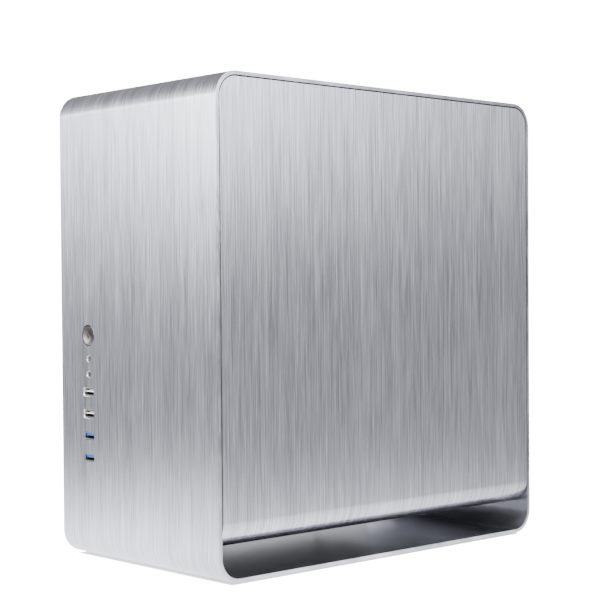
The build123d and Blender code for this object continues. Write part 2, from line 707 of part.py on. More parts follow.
with BuildPart() as io_shield:
    block((io_x - io_width / 2, io_x + io_width / 2), (inner_rear, inner_rear + 1),
          (io_bottom, io_bottom + io_length))
    block((io_x - io_width / 2 - shield_flange, io_x + io_width / 2 + shield_flange),
          (inner_rear - 1, inner_rear), (io_bottom - shield_flange, io_bottom + io_length + shield_flange))
    ys = (inner_rear - 1, inner_rear + 1)
    for z in usb_stacks:
        block((board_face - 16.8, io_right - 1), ys, (z - 7.4, z + 7.4), mode=Mode.SUBTRACT)
    for z, width, height in video_sockets:
        block((board_face - 1.7 - height, io_right - 1), ys, (z - width / 2 - 0.2, z + width / 2 + 0.2),
              mode=Mode.SUBTRACT)
    block((board_face - 13.8, io_right - 1), ys, (network_z - 8.2, network_z + 8.2), mode=Mode.SUBTRACT)
    with BuildSketch(Plane(origin=(0, inner_rear + 1, 0), x_dir=(1, 0, 0), z_dir=(0, -1, 0))):
        with Locations(*audio_places):
            Circle(3.6)
    extrude(amount=2, mode=Mode.SUBTRACT)
save(io_shield.part, "io_shield")

# Covers over the expansion openings, with a rail inside that their thumb screws hold on to
cover_sheet = 0.9
tab_depth = 12.0
rail_face = inner_rear - cover_sheet
slot_screw_radius = 1.75
slot_screw_y = inner_rear - 7.5
with BuildPart() as slot_covers:
    for z in slot_heights:
        zs = (z - cover_width / 2, z + cover_width / 2)
        block((slot_left, slot_right), (rail_face, inner_rear), zs)
        block((slot_left - cover_sheet, slot_left), (inner_rear - tab_depth, inner_rear), zs)
        with BuildSketch(Plane.YZ.offset(slot_left - cover_sheet)):
            with Locations((slot_screw_y, z)):
                Circle(slot_screw_radius)
        extrude(amount=cover_sheet, mode=Mode.SUBTRACT)
save(slot_covers.part, "slot_covers")

rail_low = slot_heights[0] - cover_width / 2 - 0.4
rail_high = slot_heights[-1] + cover_width / 2 + 0.4
with BuildPart() as slot_rail:
    block((slot_left, slot_left + 9), (rail_face - sheet, rail_face), (rail_low - sheet, rail_high + sheet))
    block((slot_left, slot_left + sheet), (inner_rear - tab_depth, rail_face),
          (rail_low - sheet, rail_high + sheet))
    block((slot_left, slot_left + 9), (rail_face, inner_rear), (rail_low - sheet, rail_low))
    block((slot_left, slot_left + 9), (rail_face, inner_rear), (rail_high, rail_high + sheet))
    with BuildSketch(Plane.YZ.offset(slot_left)):
        with Locations(*[(slot_screw_y, z) for z in slot_heights]):
            Circle(slot_screw_radius)
    extrude(amount=sheet, mode=Mode.SUBTRACT)
save(slot_rail.part, "slot_rail")

with BuildPart() as board_heatsinks:
    for y, z, depth, height, rise in ((board_front + 52, board_bottom + 62, 46, 46, 12),
                                      (board_rear - 28, board_top - 62, 12, 92, 22)):
        block((board_face - 3, board_face), (y - depth / 2, y + depth / 2), (z - height / 2, z + height / 2))
        fin_total = int(height / 5)
        for i in range(fin_total):
            fin_z = z - height / 2 + (i + 0.5) * height / fin_total
            block((board_face - rise, board_face - 3), (y - depth / 2, y + depth / 2),
                  (fin_z - 0.9, fin_z + 0.9))
save(board_heatsinks.part, "board_heatsinks")

with BuildPart() as board_connectors:
    main_power_y = board_front + 6
    block((board_face - 13, board_face), (main_power_y - 4.8, main_power_y + 4.8),
          (board_top - 120, board_top - 68))
    for i in range(12):
        for offset in (-2.1, 2.1):
            z = board_top - 118 + 2 + i * 4.2
            block((board_face - 13, board_face - 6), (main_power_y + offset - 1.3, main_power_y + offset + 1.3),
                  (z - 1.3, z + 1.3), mode=Mode.SUBTRACT)
    block((board_face - 13, board_face), (board_rear - 60, board_rear - 42), (board_top - 17, board_top - 7))
    for i in range(4):
        y = board_front + 8 + (i % 2) * 9
        z = board_bottom + 22 + (i // 2) * 20
        block((board_face - 8.5, board_face), (y - 3.4, y + 3.4), (z - 8, z + 8))
save(board_connectors.part, "board_connectors")

capacitor_places = [(cooler_y + 40, cooler_z - 50 + 11 * i) for i in range(3)]
capacitor_places += [(board_rear - 20, board_bottom + 22 + 9 * i) for i in range(6)]
capacitor_places += [(board_front + 90 + 10 * i, board_bottom + 78) for i in range(4)]
capacitor_planes = [off_board(board_face, y, z) for y, z in capacitor_places]
with BuildPart(*capacitor_planes) as capacitors_and_battery:
    Cylinder(3.5, 9.0, align=BASE)
    fillet(capacitors_and_battery.edges().filter_by(GeomType.CIRCLE), radius=0.5)
    battery = off_board(board_face, board_front + 90, board_bottom + 58)
    with BuildSketch(battery):
        Circle(11)
    extrude(amount=2.0)
    with BuildSketch(battery.offset(2.0)):
        Circle(10)
    extrude(amount=3.2)
save(capacitors_and_battery.part, "capacitors_and_battery")


# ===================================================================================================
# Power supply
# ===================================================================================================
psu_left = psu_x - psu_width / 2
psu_right = psu_x + psu_width / 2
psu_front = inner_rear - psu_depth
psu_top = psu_bottom + psu_height
psu_fan_y = inner_rear - psu_depth / 2 - 2
inlet_x = psu_x - 36.0
inlet_z = psu_z + 14.0
inlet_width = 27.0
inlet_height = 20.0
switch_x = inlet_x + 30.0
switch_width = 15.0
switch_height = 21.0
vent_x = psu_x + 28.0
vent_pitch = 8.0
psu_grille_slot = 8.0
psu_grille_radii = [fan_bore / 2 - 2 - 11 * i for i in range(4)]

with BuildPart() as psu_case:
    block((psu_left, psu_right), (psu_front, inner_rear), (psu_bottom, psu_top))
    block((psu_left + psu_sheet, psu_right - psu_sheet), (psu_front + psu_sheet, inner_rear - psu_sheet),
          (psu_bottom + psu_sheet, psu_top - psu_sheet), mode=Mode.SUBTRACT)
    with BuildSketch(Plane.XY.offset(psu_bottom)):
        with Locations((psu_x, psu_fan_y)):
            for outer in psu_grille_radii:
                Circle(outer)
                Circle(outer - psu_grille_slot, mode=Mode.SUBTRACT)
            with PolarLocations(30, 4, start_angle=45):
                Rectangle(60, 5, mode=Mode.SUBTRACT)
            Circle(14, mode=Mode.SUBTRACT)
    extrude(amount=psu_sheet, mode=Mode.SUBTRACT)
    with BuildSketch(facing_rear(0, inner_rear - psu_sheet, 0)):
        with Locations((-inlet_x, inlet_z)):
            Rectangle(inlet_width, inlet_height)
        with Locations((-switch_x, inlet_z)):
            Rectangle(switch_width, switch_height)
        with Locations((-vent_x, psu_z)):
            with HexLocations(vent_pitch / 2, 7, 9):
                RegularPolygon(vent_pitch / 2 * 0.92, 6)
        with Locations((-(inlet_x + 10), psu_z - 20)):
            with HexLocations(vent_pitch / 2, 6, 3):
                RegularPolygon(vent_pitch / 2 * 0.92, 6)
    extrude(amount=psu_sheet, mode=Mode.SUBTRACT)
    with BuildSketch(Plane(origin=(0, psu_front + psu_sheet, 0), x_dir=(1, 0, 0), z_dir=(0, -1, 0))):
        with Locations((psu_x + 40, psu_z + 10)):
            Rectangle(44, 26)
    extrude(amount=psu_sheet, mode=Mode.SUBTRACT)
save(psu_case.part, "psu_case")

pcb_z = psu_top - psu_sheet - 8.0
part_floor = psu_bottom + psu_sheet + fan_depth + 3
with BuildPart() as psu_circuit_board:
    block((psu_left + 4, psu_right - 4), (psu_front + 4, inner_rear - 18), (pcb_z, pcb_z + 1.6))
    for sx in (-1, 1):
        for sy in (-1, 1):
            with Locations((psu_x + sx * 62, psu_fan_y + 2 + sy * 50, pcb_z + 1.6)):
                Cylinder(3, psu_top - psu_sheet - pcb_z - 1.6, align=BASE)
    block((psu_x + 4, psu_x + 38), (psu_fan_y - 16, psu_fan_y + 16), (part_floor, pcb_z))
    block((psu_x + 14, psu_x + 34), (psu_fan_y + 22, psu_fan_y + 40), (part_floor + 10, pcb_z))
    with Locations((psu_x - 40, psu_fan_y + 12, part_floor), (psu_x - 40, psu_fan_y - 16, part_floor)):
        Cylinder(12, pcb_z - part_floor, align=BASE)
    for x in (psu_x - 20, psu_x + 50):
        block((x - 1.5, x + 1.5), (psu_fan_y - 45, psu_fan_y + 40), (part_floor, pcb_z))
        for i in range(9):
            y = psu_fan_y - 42 + i * 10
            block((x, x + 6), (y - 1, y + 1), (part_floor, pcb_z))
save(psu_circuit_board.part, "psu_circuit_board")

inlet_depth = 17.0
pocket_width = 23.6
pocket_height = 16.4
with BuildPart(facing_rear(inlet_x, inner_rear - inlet_depth, inlet_z)) as mains_inlet:
    Box(inlet_width, inlet_height, inlet_depth, align=BASE)
    with BuildSketch(facing_rear(inlet_x, inner_rear, inlet_z)):
        Rectangle(inlet_width + 6, inlet_height + 4)
    extrude(amount=1.5)
    with BuildSketch(facing_rear(inlet_x, inner_rear - inlet_depth + 2, inlet_z)):
        Rectangle(pocket_width, pocket_height)
    extrude(amount=inlet_depth, mode=Mode.SUBTRACT)
save(mains_inlet.part, "mains_inlet")

pin_offsets = [(-7.0, -2.5), (0.0, 1.5), (7.0, -2.5)]
with BuildPart(facing_rear(inlet_x, inner_rear - inlet_depth + 2, inlet_z)) as inlet_pins:
    with Locations(*[(x, z, 0) for x, z in pin_offsets]):
        Box(2.0, 4.0, 12.0, align=BASE)
save(inlet_pins.part, "inlet_pins")

rocker_tilt = 8.0
rocker_back = 3.5
rocker_tip = 4.1
rocker_waist = 3.1
rocker_width = switch_width - 4.4
rocker_height = switch_height - 5.0
pivot_radius = 1.0
pivot_inset = 2.5
switch_depth = 12.0
with BuildPart(facing_rear(switch_x, inner_rear - switch_depth, inlet_z)) as switch_frame:
    Box(switch_width, switch_height, switch_depth, align=BASE)
    with BuildSketch(facing_rear(switch_x, inner_rear, inlet_z)):
        RectangleRounded(switch_width + 4, switch_height + 4, 1)
    extrude(amount=1.5)
    with BuildSketch(facing_rear(switch_x, inner_rear - 9, inlet_z)):
        Rectangle(rocker_width + 0.6, rocker_height + 3.4)
    extrude(amount=12, mode=Mode.SUBTRACT)
    with Locations(Location((0, 0, switch_depth - pivot_inset), (0, 90, 0))):
        Cylinder(pivot_radius + shaft_clearance, switch_width - 1, mode=Mode.SUBTRACT)
save(switch_frame.part, "switch_frame")

# The rocker rests with its upper half pressed in
rocker_plane = Plane(origin=(switch_x - rocker_width / 2, inner_rear - pivot_inset, inlet_z),
                     x_dir=(0, cos(radians(rocker_tilt)), sin(radians(rocker_tilt))), z_dir=(1, 0, 0))
with BuildPart() as switch_rocker:
    with BuildSketch(rocker_plane):
        with BuildLine():
            Polyline((-rocker_back, -rocker_height / 2), (-rocker_back, rocker_height / 2),
                     (rocker_tip, rocker_height / 2), (rocker_waist, 0),
                     (rocker_tip, -rocker_height / 2), (-rocker_back, -rocker_height / 2))
        make_face()
    extrude(amount=rocker_width)
    fillet(switch_rocker.edges().filter_by(Axis.X).sort_by(Axis.Y)[-2:], radius=0.8)
    pivot_length = switch_width - 1.6
    with BuildSketch(rocker_plane.offset((rocker_width - pivot_length) / 2)):
        Circle(pivot_radius)
    extrude(amount=pivot_length)
save(switch_rocker.part, "switch_rocker")

# ===================================================================================================
# Drives
# ===================================================================================================
cage_front = inner_front + inner_radius + 1.0
cage_rear = cage_front + drive_width + 2 * sheet
drive_x = 0.0
drive_bottoms = [inner_top - 22 - drive_height, inner_top - 22 - drive_height - drive_pitch]
cage_bottom = drive_bottoms[-1] - 4
with BuildPart() as drive_cage:
    block((-58, 58), (cage_front, cage_rear), (inner_top - sheet, inner_top))
    for y in (cage_front, cage_rear - sheet):
        block((-58, 58), (y, y + sheet), (cage_bottom, inner_top - sheet))
    for z in drive_bottoms:
        for x in (-30, 10):
            with Locations(Location((x, (cage_front + cage_rear) / 2, z + 6.5), (90, 0, 0))):
                Cylinder(1.8, case_depth, mode=Mode.SUBTRACT)
save(drive_cage.part, "drive_cage")

drive_screw_places = [(x, z + 6.5) for z in drive_bottoms for x in (-30, 10)]
with BuildPart() as hard_drives:
    for z in drive_bottoms:
        ys = (cage_front + sheet, cage_front + sheet + drive_width)
        block((drive_x - drive_length / 2, drive_x + drive_length / 2), ys, (z, z + drive_height))
        block((drive_x - drive_length / 2 + 6, drive_x + drive_length / 2 - 16), (ys[0] + 5, ys[1] - 5),
              (z + drive_height, z + drive_height + 1))
    fillet(hard_drives.edges().filter_by(Axis.Z), radius=1.5)
save(hard_drives.part, "hard_drives")

ssd_y = tray_front + 6 + ssd_width / 2
ssd_z = board_bottom + 90
with BuildPart() as solid_state_drive:
    block((tray_inside - ssd_height, tray_inside), (ssd_y - ssd_width / 2, ssd_y + ssd_width / 2),
          (ssd_z - ssd_length / 2, ssd_z + ssd_length / 2))
    fillet(solid_state_drive.edges().filter_by(Axis.X), radius=2.0)
save(solid_state_drive.part, "solid_state_drive")

# ===================================================================================================
# Front controls
# ===================================================================================================
button_depth = shell_wall          # its flange stops against the inside of the wall
button_flange_radius = button_diameter / 2 + 1.2
guide_radius = button_flange_radius + 0.1
guide_depth = 6.0
io_board_y = inner_front + 14.0
io_board_thickness = 1.6
switch_body_depth = 4.0
plunger_radius = 3.4
plunger_front = io_board_y - switch_body_depth - 2.2

with BuildPart(facing_front(control_x, front, button_z)) as power_button:
    with Locations((0, 0, -button_depth - 0.1)):
        Cylinder(button_diameter / 2, button_depth + 0.1, align=BASE)
    chamfer(power_button.edges().filter_by(GeomType.CIRCLE).sort_by(Axis.Y)[0], length=0.6)
    dish_radius = button_diameter / 2 - 1.1
    sphere_radius = (dish_radius ** 2 + button_dish ** 2) / (2 * button_dish)
    with Locations((0, 0, sphere_radius - button_dish)):
        Sphere(sphere_radius, mode=Mode.SUBTRACT)
    with Locations((0, 0, -button_depth - 0.1)):
        Cylinder(button_flange_radius, 1.4, align=(Align.CENTER, Align.CENTER, Align.MAX))
        stem_length = plunger_front - (front + button_depth + 0.1)
        Cylinder(2.5, stem_length, align=(Align.CENTER, Align.CENTER, Align.MAX))
    # Generic on/off mark, engraved in the dish
    with BuildSketch(facing_front(control_x, front, button_z)):
        with BuildLine(mode=Mode.PRIVATE) as mark:
            CenterArc((0, 0), 2.2, 125, 290)
        SlotArc(mark.edge(), 0.5)
        with Locations((0, 1.9)):
            SlotOverall(2.6, 0.5, rotation=90)
    extrude(amount=-(button_dish + 0.25), mode=Mode.SUBTRACT)
save(power_button.part, "power_button")

with BuildPart(facing_front(control_x, inner_front, button_z)) as button_guide:
    with Locations((0, 0, -guide_depth)):
        Cylinder(guide_radius + 2, guide_depth, align=BASE)
        Cylinder(guide_radius, guide_depth, align=BASE, mode=Mode.SUBTRACT)
save(button_guide.part, "button_guide")

with BuildPart(facing_front(control_x, io_board_y, button_z)) as button_switch:
    Box(12, 12, switch_body_depth, align=BASE)
    with Locations((0, 0, 0.2)):
        Cylinder(plunger_radius + shaft_clearance, switch_body_depth, align=BASE, mode=Mode.SUBTRACT)
save(button_switch.part, "button_switch")

with BuildPart(facing_front(control_x, plunger_front, button_z)) as switch_plunger:
    plunger_length = io_board_y - 0.2 - button_travel - 0.2 - plunger_front
    Cylinder(plunger_radius, plunger_length, align=(Align.CENTER, Align.CENTER, Align.MAX))
save(switch_plunger.part, "switch_plunger")

socket_front = front + usb_recess
with BuildPart(*[facing_front(control_x, io_board_y, z) for z in usb_heights]) as usb_shells:
    depth = io_board_y - socket_front
    Box(usb_width, usb_height, depth, align=BASE)
    with Locations((0, 0, 2)):
        Box(usb_width - 2 * usb_wall, usb_height - 2 * usb_wall, depth, align=BASE, mode=Mode.SUBTRACT)
save(usb_shells.part, "usb_shells")

tongue_rise = 0.55
tongue_width = 11.0


def usb_tongues(heights):
    """Plastic tongues in the upper half of the USB sockets, each on a base that fills the shell's back."""
    with BuildPart(*[facing_front(control_x, io_board_y - 2, z) for z in heights]) as tongues:
        Box(usb_width - 2 * usb_wall, usb_height - 2 * usb_wall, 2.5, align=BASE)
        with Locations((0, tongue_rise + tongue_thickness / 2, 0)):
            Box(tongue_width, tongue_thickness, io_board_y - 2 - socket_front - 0.9, align=BASE)
    return tongues.part


save(usb_tongues(usb_heights[:2]), "usb2_tongues")
save(usb_tongues(usb_heights[2:]), "usb3_tongues")

with BuildPart(*[facing_front(control_x, io_board_y, z) for z in jack_heights]) as audio_jacks:
    Box(9.6, 9.6, 12.5, align=BASE)
    Cylinder(jack_ring_diameter / 2, io_board_y - front - 0.4, align=BASE)
    with Locations((0, 0, io_board_y - front - 0.4 - jack_depth)):
        Cylinder(jack_bore / 2, jack_depth, align=BASE, mode=Mode.SUBTRACT)
save(audio_jacks.part, "audio_jacks")

io_board_bottom = usb_heights[-1] - 11.0
io_board_top = button_z + 12.0
with BuildPart() as front_io_board:
    block((control_x - 12, control_x + 12), (io_board_y, io_board_y + io_board_thickness),
          (io_board_bottom, io_board_top))
save(front_io_board.part, "front_io_board")

with BuildPart() as front_io_bracket:
    back = io_board_y + io_board_thickness
    xs = (control_x - 12, control_x + 12)
    block(xs, (back, back + sheet), (io_board_bottom - sheet, io_board_top + sheet))
    for low, foot in ((io_board_bottom - sheet, (io_board_bottom - 9, io_board_bottom - sheet)),
                      (io_board_top, (io_board_top + sheet, io_board_top + 9))):
        block(xs, (inner_front, back), (low, low + sheet))
        block(xs, (inner_front, inner_front + sheet), foot)
save(front_io_bracket.part, "front_io_bracket")

# ===================================================================================================
# Screws
# ===================================================================================================
board_screw_planes = [off_board(board_face, y, z) for y, z in board_holes]
slot_screw_planes = [off_board(slot_left - cover_sheet, slot_screw_y, z) for z in slot_heights]
rear_screw_planes = [facing_rear(x, rear, z) for x, z in rear_screw_places]
drive_screw_planes = [facing_front(x, cage_front, z) for x, z in drive_screw_places]
drive_screw_planes += [facing_rear(x, cage_rear, z) for x, z in drive_screw_places]
recess_depth = 1.0
with BuildPart() as case_screws:
    # Pan heads on the mother board and on the drive cage
    for plane, shank_radius, shank in ([(plane, screw_shank, board_thickness) for plane in board_screw_planes]
                                       + [(plane, screw_radius, sheet) for plane in drive_screw_planes]):
        with BuildSketch(plane):
            Circle(3.1)
        extrude(amount=2.0)
        with BuildSketch(plane):
            Circle(shank_radius)
        extrude(amount=-shank)
        with BuildSketch(plane.offset(2.0)):
            Rectangle(3.8, 0.8)
            Rectangle(0.8, 3.8)
        extrude(amount=-recess_depth, mode=Mode.SUBTRACT)
    # Thumb screws on the slot covers
    for plane in slot_screw_planes:
        with BuildSketch(plane):
            Circle(4.5)
        extrude(amount=4.0)
        with BuildSketch(plane):
            Circle(slot_screw_radius)
        extrude(amount=-(sheet + cover_sheet))
        with BuildSketch(plane.offset(4.0)):
            Circle(3.0)
        extrude(amount=-recess_depth, mode=Mode.SUBTRACT)
    # Countersunk screws through the back wall, flush with it
    for plane in rear_screw_planes:
        with BuildSketch(plane):
            Circle(screw_head_radius)
        with BuildSketch(plane.offset(-screw_head_height)):
            Circle(screw_radius)
        loft()
        with BuildSketch(plane.offset(-screw_head_height)):
            Circle(screw_radius)
        extrude(amount=-(shell_wall - screw_head_height))
        with BuildSketch(plane):
            Rectangle(4.0, 0.9)
            Rectangle(0.9, 4.0)
        extrude(amount=-recess_depth, mode=Mode.SUBTRACT)
save(case_screws.part, "case_screws")
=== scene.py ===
"""Looks of a micro-tower computer: a wrapped, brushed and anodised aluminium case and what it holds."""
import json
import math

import bpy
from mathutils import Matrix, Vector


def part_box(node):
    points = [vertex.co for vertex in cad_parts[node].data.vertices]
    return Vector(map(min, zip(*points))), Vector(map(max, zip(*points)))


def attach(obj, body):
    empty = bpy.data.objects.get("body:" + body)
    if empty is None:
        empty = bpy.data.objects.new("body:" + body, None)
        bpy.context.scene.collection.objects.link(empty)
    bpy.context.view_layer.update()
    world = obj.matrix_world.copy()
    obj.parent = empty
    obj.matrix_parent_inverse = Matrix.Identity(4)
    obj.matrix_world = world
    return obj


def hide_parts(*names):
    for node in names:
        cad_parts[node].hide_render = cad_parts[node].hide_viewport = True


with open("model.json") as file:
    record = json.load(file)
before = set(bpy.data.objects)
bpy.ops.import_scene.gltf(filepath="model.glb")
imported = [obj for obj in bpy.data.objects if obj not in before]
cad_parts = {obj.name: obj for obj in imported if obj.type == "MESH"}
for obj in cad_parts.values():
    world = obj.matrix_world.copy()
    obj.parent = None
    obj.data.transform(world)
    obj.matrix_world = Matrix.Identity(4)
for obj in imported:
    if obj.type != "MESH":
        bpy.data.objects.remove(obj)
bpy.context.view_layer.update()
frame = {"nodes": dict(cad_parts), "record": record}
MM = 0.001

# ---- Sizes that repeat the case's design, in metres ---------------------------------------------------
shell_low, shell_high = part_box("outer_shell")
SHELL_WALL = 3.0 * MM
CORNER_RADIUS = 20.0 * MM
SHELL_CHAMFER = 0.5 * MM
PANEL_SHEET = 2.0 * MM
PANEL_CORNER = 16.1 * MM
PANEL_CHAMFER = 0.3 * MM
SKIRT_RADIUS = 20.0 * MM
SKIRT_LIP = 4.5 * MM


# =======================================================================================================
# Small tools for modelling
# =======================================================================================================
def choose(piece):
    """Make this the one piece that is selected and active."""
    bpy.ops.object.select_all(action="DESELECT")
    piece.select_set(True)
    bpy.context.view_layer.objects.active = piece


def pick(piece, mode, test):
    """Select the piece's faces or edges whose middle and direction pass the test, and go to edit mode."""
    mesh = piece.data
    bpy.ops.object.mode_set(mode="OBJECT")
    for vertex in mesh.vertices:
        vertex.select = False
    for edge in mesh.edges:
        edge.select = False
    for face in mesh.polygons:
        face.select = False
    if mode == "FACE":
        for face in mesh.polygons:
            face.select = test(face.center, face.normal)
    else:
        for edge in mesh.edges:
            start, end = (mesh.vertices[i].co for i in edge.vertices)
            edge.select = test((start + end) / 2, (end - start).normalized())
    bpy.context.tool_settings.mesh_select_mode = (False, mode == "EDGE", mode == "FACE")
    bpy.ops.object.mode_set(mode="EDIT")


def end_edit():
    bpy.ops.object.mode_set(mode="OBJECT")


def settle(name):
    """Name the active piece and put its place into its mesh."""
    piece = bpy.context.active_object
    piece.name = name
    piece.data.name = name
    bpy.ops.object.transform_apply(location=True, rotation=True, scale=True)
    return piece


def block(name, low, high):
    """A box between two corners, ready to be shaped."""
    bpy.ops.object.select_all(action="DESELECT")
    middle = [(a + b) / 2 for a, b in zip(low, high)]
    bpy.ops.mesh.primitive_cube_add(size=1.0, location=middle)
    bpy.context.active_object.scale = [b - a for a, b in zip(low, high)]
    return settle(name)


def rod(name, middle, radius, length, axis, sides=48):
    """A cylinder along X, Y or Z, ready to be shaped."""
    turn = {"X": (0, math.pi / 2, 0), "Y": (math.pi / 2, 0, 0), "Z": (0, 0, 0)}[axis]
    bpy.ops.object.select_all(action="DESELECT")
    bpy.ops.mesh.primitive_cylinder_add(vertices=sides, radius=radius, depth=length, location=middle,
                                        rotation=turn)
    return settle(name)


def modify(piece, kind, **settings):
    """Add a modifier and apply it."""
    choose(piece)
    modifier = piece.modifiers.new(kind.lower(), kind)
    for key, value in settings.items():
        setattr(modifier, key, value)
    bpy.ops.object.modifier_apply(modifier=modifier.name)


def cut(piece, cutter):
    """Cut one piece's shape out of another and throw the cutter away."""
    modify(piece, "BOOLEAN", operation="DIFFERENCE", solver="EXACT", object=cutter)
    bpy.data.objects.remove(cutter)


def join(name, parts):
    """Several finished meshes as one piece."""
    bpy.ops.object.select_all(action="DESELECT")
    for part in parts:
        part.select_set(True)
    bpy.context.view_layer.objects.active = parts[0]
    if len(parts) > 1:
        bpy.ops.object.join()
    piece = bpy.context.active_object
    piece.name = name
    piece.data.name = name
    return piece


def smooth(piece, angle=35):
    """Smooth shading except over sharp corners."""
    choose(piece)
    bpy.ops.object.shade_smooth_by_angle(angle=math.radians(angle))


def soften(piece, width, segments=2):
    """Round the edges that are sharper than 30 degrees, and shade the piece smooth."""
    modify(piece, "BEVEL", width=width, segments=segments, limit_method="ANGLE",
           angle_limit=math.radians(30), miter_outer="MITER_ARC", harden_normals=False)
    smooth(piece)
    modify(piece, "WEIGHTED_NORMAL", keep_sharp=True)


def finish_piece(piece, material, body, slot, *replaced):
    """Material and body of a finished piece, and the CAD nodes that it stands for, which are hidden; slot is
    not used.
    """
    piece.data.materials.clear()
    piece.data.materials.append(material)
    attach(piece, body)
    if replaced:
        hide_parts(*replaced)
    return piece


# =======================================================================================================
# Materials
# =======================================================================================================
def linear(hex_colour):
    """An sRGB hex colour as linear red, green, blue and alpha."""
    channels = [int(hex_colour[i:i + 2], 16) / 255 for i in (1, 3, 5)]
    return [c / 12.92 if c <= 0.04045 else ((c + 0.055) / 1.055) ** 2.4 for c in channels] + [1.0]


def add_node(tree, kind, inputs=None, **settings):
    """Add a node, set it up, and give each input a value or another node's output."""
    node = tree.nodes.new(kind)
    for key, value in settings.items():
        setattr(node, key, value)
    for key, value in (inputs or {}).items():
        if isinstance(value, bpy.types.NodeSocket):
            tree.links.new(value, node.inputs[key])
        else:
            node.inputs[key].default_value = value
    return node


def new_material(name):
    """An empty node material: its tree and its shader, linked to the output."""
    material = bpy.data.materials.new(name)
    material.use_nodes = True
    tree = material.node_tree
    tree.nodes.clear()
    shader = add_node(tree, "ShaderNodeBsdfPrincipled")
    add_node(tree, "ShaderNodeOutputMaterial", {"Surface": shader.outputs[0]})
    return material, tree, shader


def scaled_place(tree, scale, location=(0, 0, 0)):
    """Object coordinates in metres, moved and scaled."""
    place = add_node(tree, "ShaderNodeTexCoord")
    mapping = add_node(tree, "ShaderNodeMapping", {"Vector": place.outputs["Object"], "Location": location,
                                                   "Scale": scale})
    return mapping.outputs[0]


def tone(tree, value, low, high, colour_low, colour_high):
    """A colour ramp between two colours over a range of a value."""
    ramp = add_node(tree, "ShaderNodeValToRGB", {"Fac": value})
    ramp.color_ramp.elements[0].position = low
    ramp.color_ramp.elements[1].position = high
    ramp.color_ramp.elements[0].color = linear(colour_low)
    ramp.color_ramp.elements[1].color = linear(colour_high)
    return ramp.outputs[0]


def spread(tree, value, low, high, value_low=0.0, value_high=1.0):
    """A value mapped from its own range, which is 0..1 unless it is given, to another range."""
    mapped = add_node(tree, "ShaderNodeMapRange", {"Value": value, "From Min": value_low,
                                                   "From Max": value_high, "To Min": low, "To Max": high})
    return mapped.outputs[0]


def maths(tree, operation, first, second=0.0):
    """One step of arithmetic on one or two values."""
    return add_node(tree, "ShaderNodeMath", {0: first, 1: second}, operation=operation).outputs[0]


def relief(tree, shader, height, strength, depth, invert=False):
    """Let a value raise and lower the surface."""
    bump = add_node(tree, "ShaderNodeBump", {"Height": height, "Strength": strength, "Distance": depth},
                    invert=invert)
    tree.links.new(bump.outputs[0], shader.inputs["Normal"])


HAIRLINES = [(0.5 * MM, 30 * MM, 0.45), (1.4 * MM, 90 * MM, 0.4), (9 * MM, 400 * MM, 0.15)]


def brushed_aluminium(name, across, dark="#96979f", light="#f0f1f8", roughness=0.21):
    """Aluminium sheet, belt-brushed one way and clear anodised: fine hairlines, a soft satin sheen.

    across is the axis that the hairlines lie side by side on. Real hairlines are about 0.1 mm apart; these
    are 0.5 to 1.4 mm, as coarse as they need to be to show. Light spreads across them and not along them.
    HAIRLINES gives each layer's spacing, the length of its lines and its share of the tone.
    """
    material, tree, shader = new_material(name)
    layers = []
    for spacing, run, share in HAIRLINES:
        scale = [1 / run] * 3
        scale["XYZ".index(across)] = 1 / spacing
        noise = add_node(tree, "ShaderNodeTexNoise", {"Vector": scaled_place(tree, scale), "Scale": 1.0,
                                                      "Detail": 2.0, "Roughness": 0.55})
        layers.append(maths(tree, "MULTIPLY", noise.outputs[0], share))
    grain = maths(tree, "ADD", maths(tree, "ADD", layers[0], layers[1]), layers[2])
    tree.links.new(tone(tree, grain, 0.32, 0.68, dark, light), shader.inputs["Base Color"])
    gloss = spread(tree, grain, roughness - 0.03, roughness + 0.05, 0.32, 0.68)
    tree.links.new(gloss, shader.inputs["Roughness"])
    relief(tree, shader, grain, 0.02, 0.1 * MM)
    shader.inputs["Metallic"].default_value = 1.0
    shader.inputs["Anisotropic"].default_value = 0.6
    tangent = add_node(tree, "ShaderNodeCombineXYZ", {across: 1.0})
    tree.links.new(tangent.outputs[0], shader.inputs["Tangent"])
    return material


def plain_metal(name, dark, light, roughness, grit=1.5 * MM, metallic=1.0):
    """A metal surface with a fine uneven finish: its tone and gloss wander by a few percent."""
    material, tree, shader = new_material(name)
    noise = add_node(tree, "ShaderNodeTexNoise", {"Vector": scaled_place(tree, [1 / grit] * 3), "Scale": 1.0,
                                                  "Detail": 4.0})
    tree.links.new(tone(tree, noise.outputs[0], 0.3, 0.7, dark, light), shader.inputs["Base Color"])
    gloss = spread(tree, noise.outputs[0], roughness * 0.8, roughness * 1.25)
    tree.links.new(gloss, shader.inputs["Roughness"])
    relief(tree, shader, noise.outputs[0], 0.05, 0.1 * MM)
    shader.inputs["Metallic"].default_value = metallic
    return material


def moulded_plastic(name, dark, light, roughness, grit=0.6 * MM, bumps=0.15):
    """Injection-moulded plastic with a spark-eroded texture: matt, with a fine even grain."""
    material, tree, shader = new_material(name)
    noise = add_node(tree, "ShaderNodeTexNoise", {"Vector": scaled_place(tree, [1 / grit] * 3), "Scale": 1.0,
                                                  "Detail": 2.0})
    tree.links.new(tone(tree, noise.outputs[0], 0.3, 0.7, dark, light), shader.inputs["Base Color"])
    gloss = spread(tree, noise.outputs[0], roughness - 0.06, roughness + 0.06)
    tree.links.new(gloss, shader.inputs["Roughness"])
    relief(tree, shader, noise.outputs[0], bumps, 0.05 * MM)
    shader.inputs["IOR"].default_value = 1.5
    return material


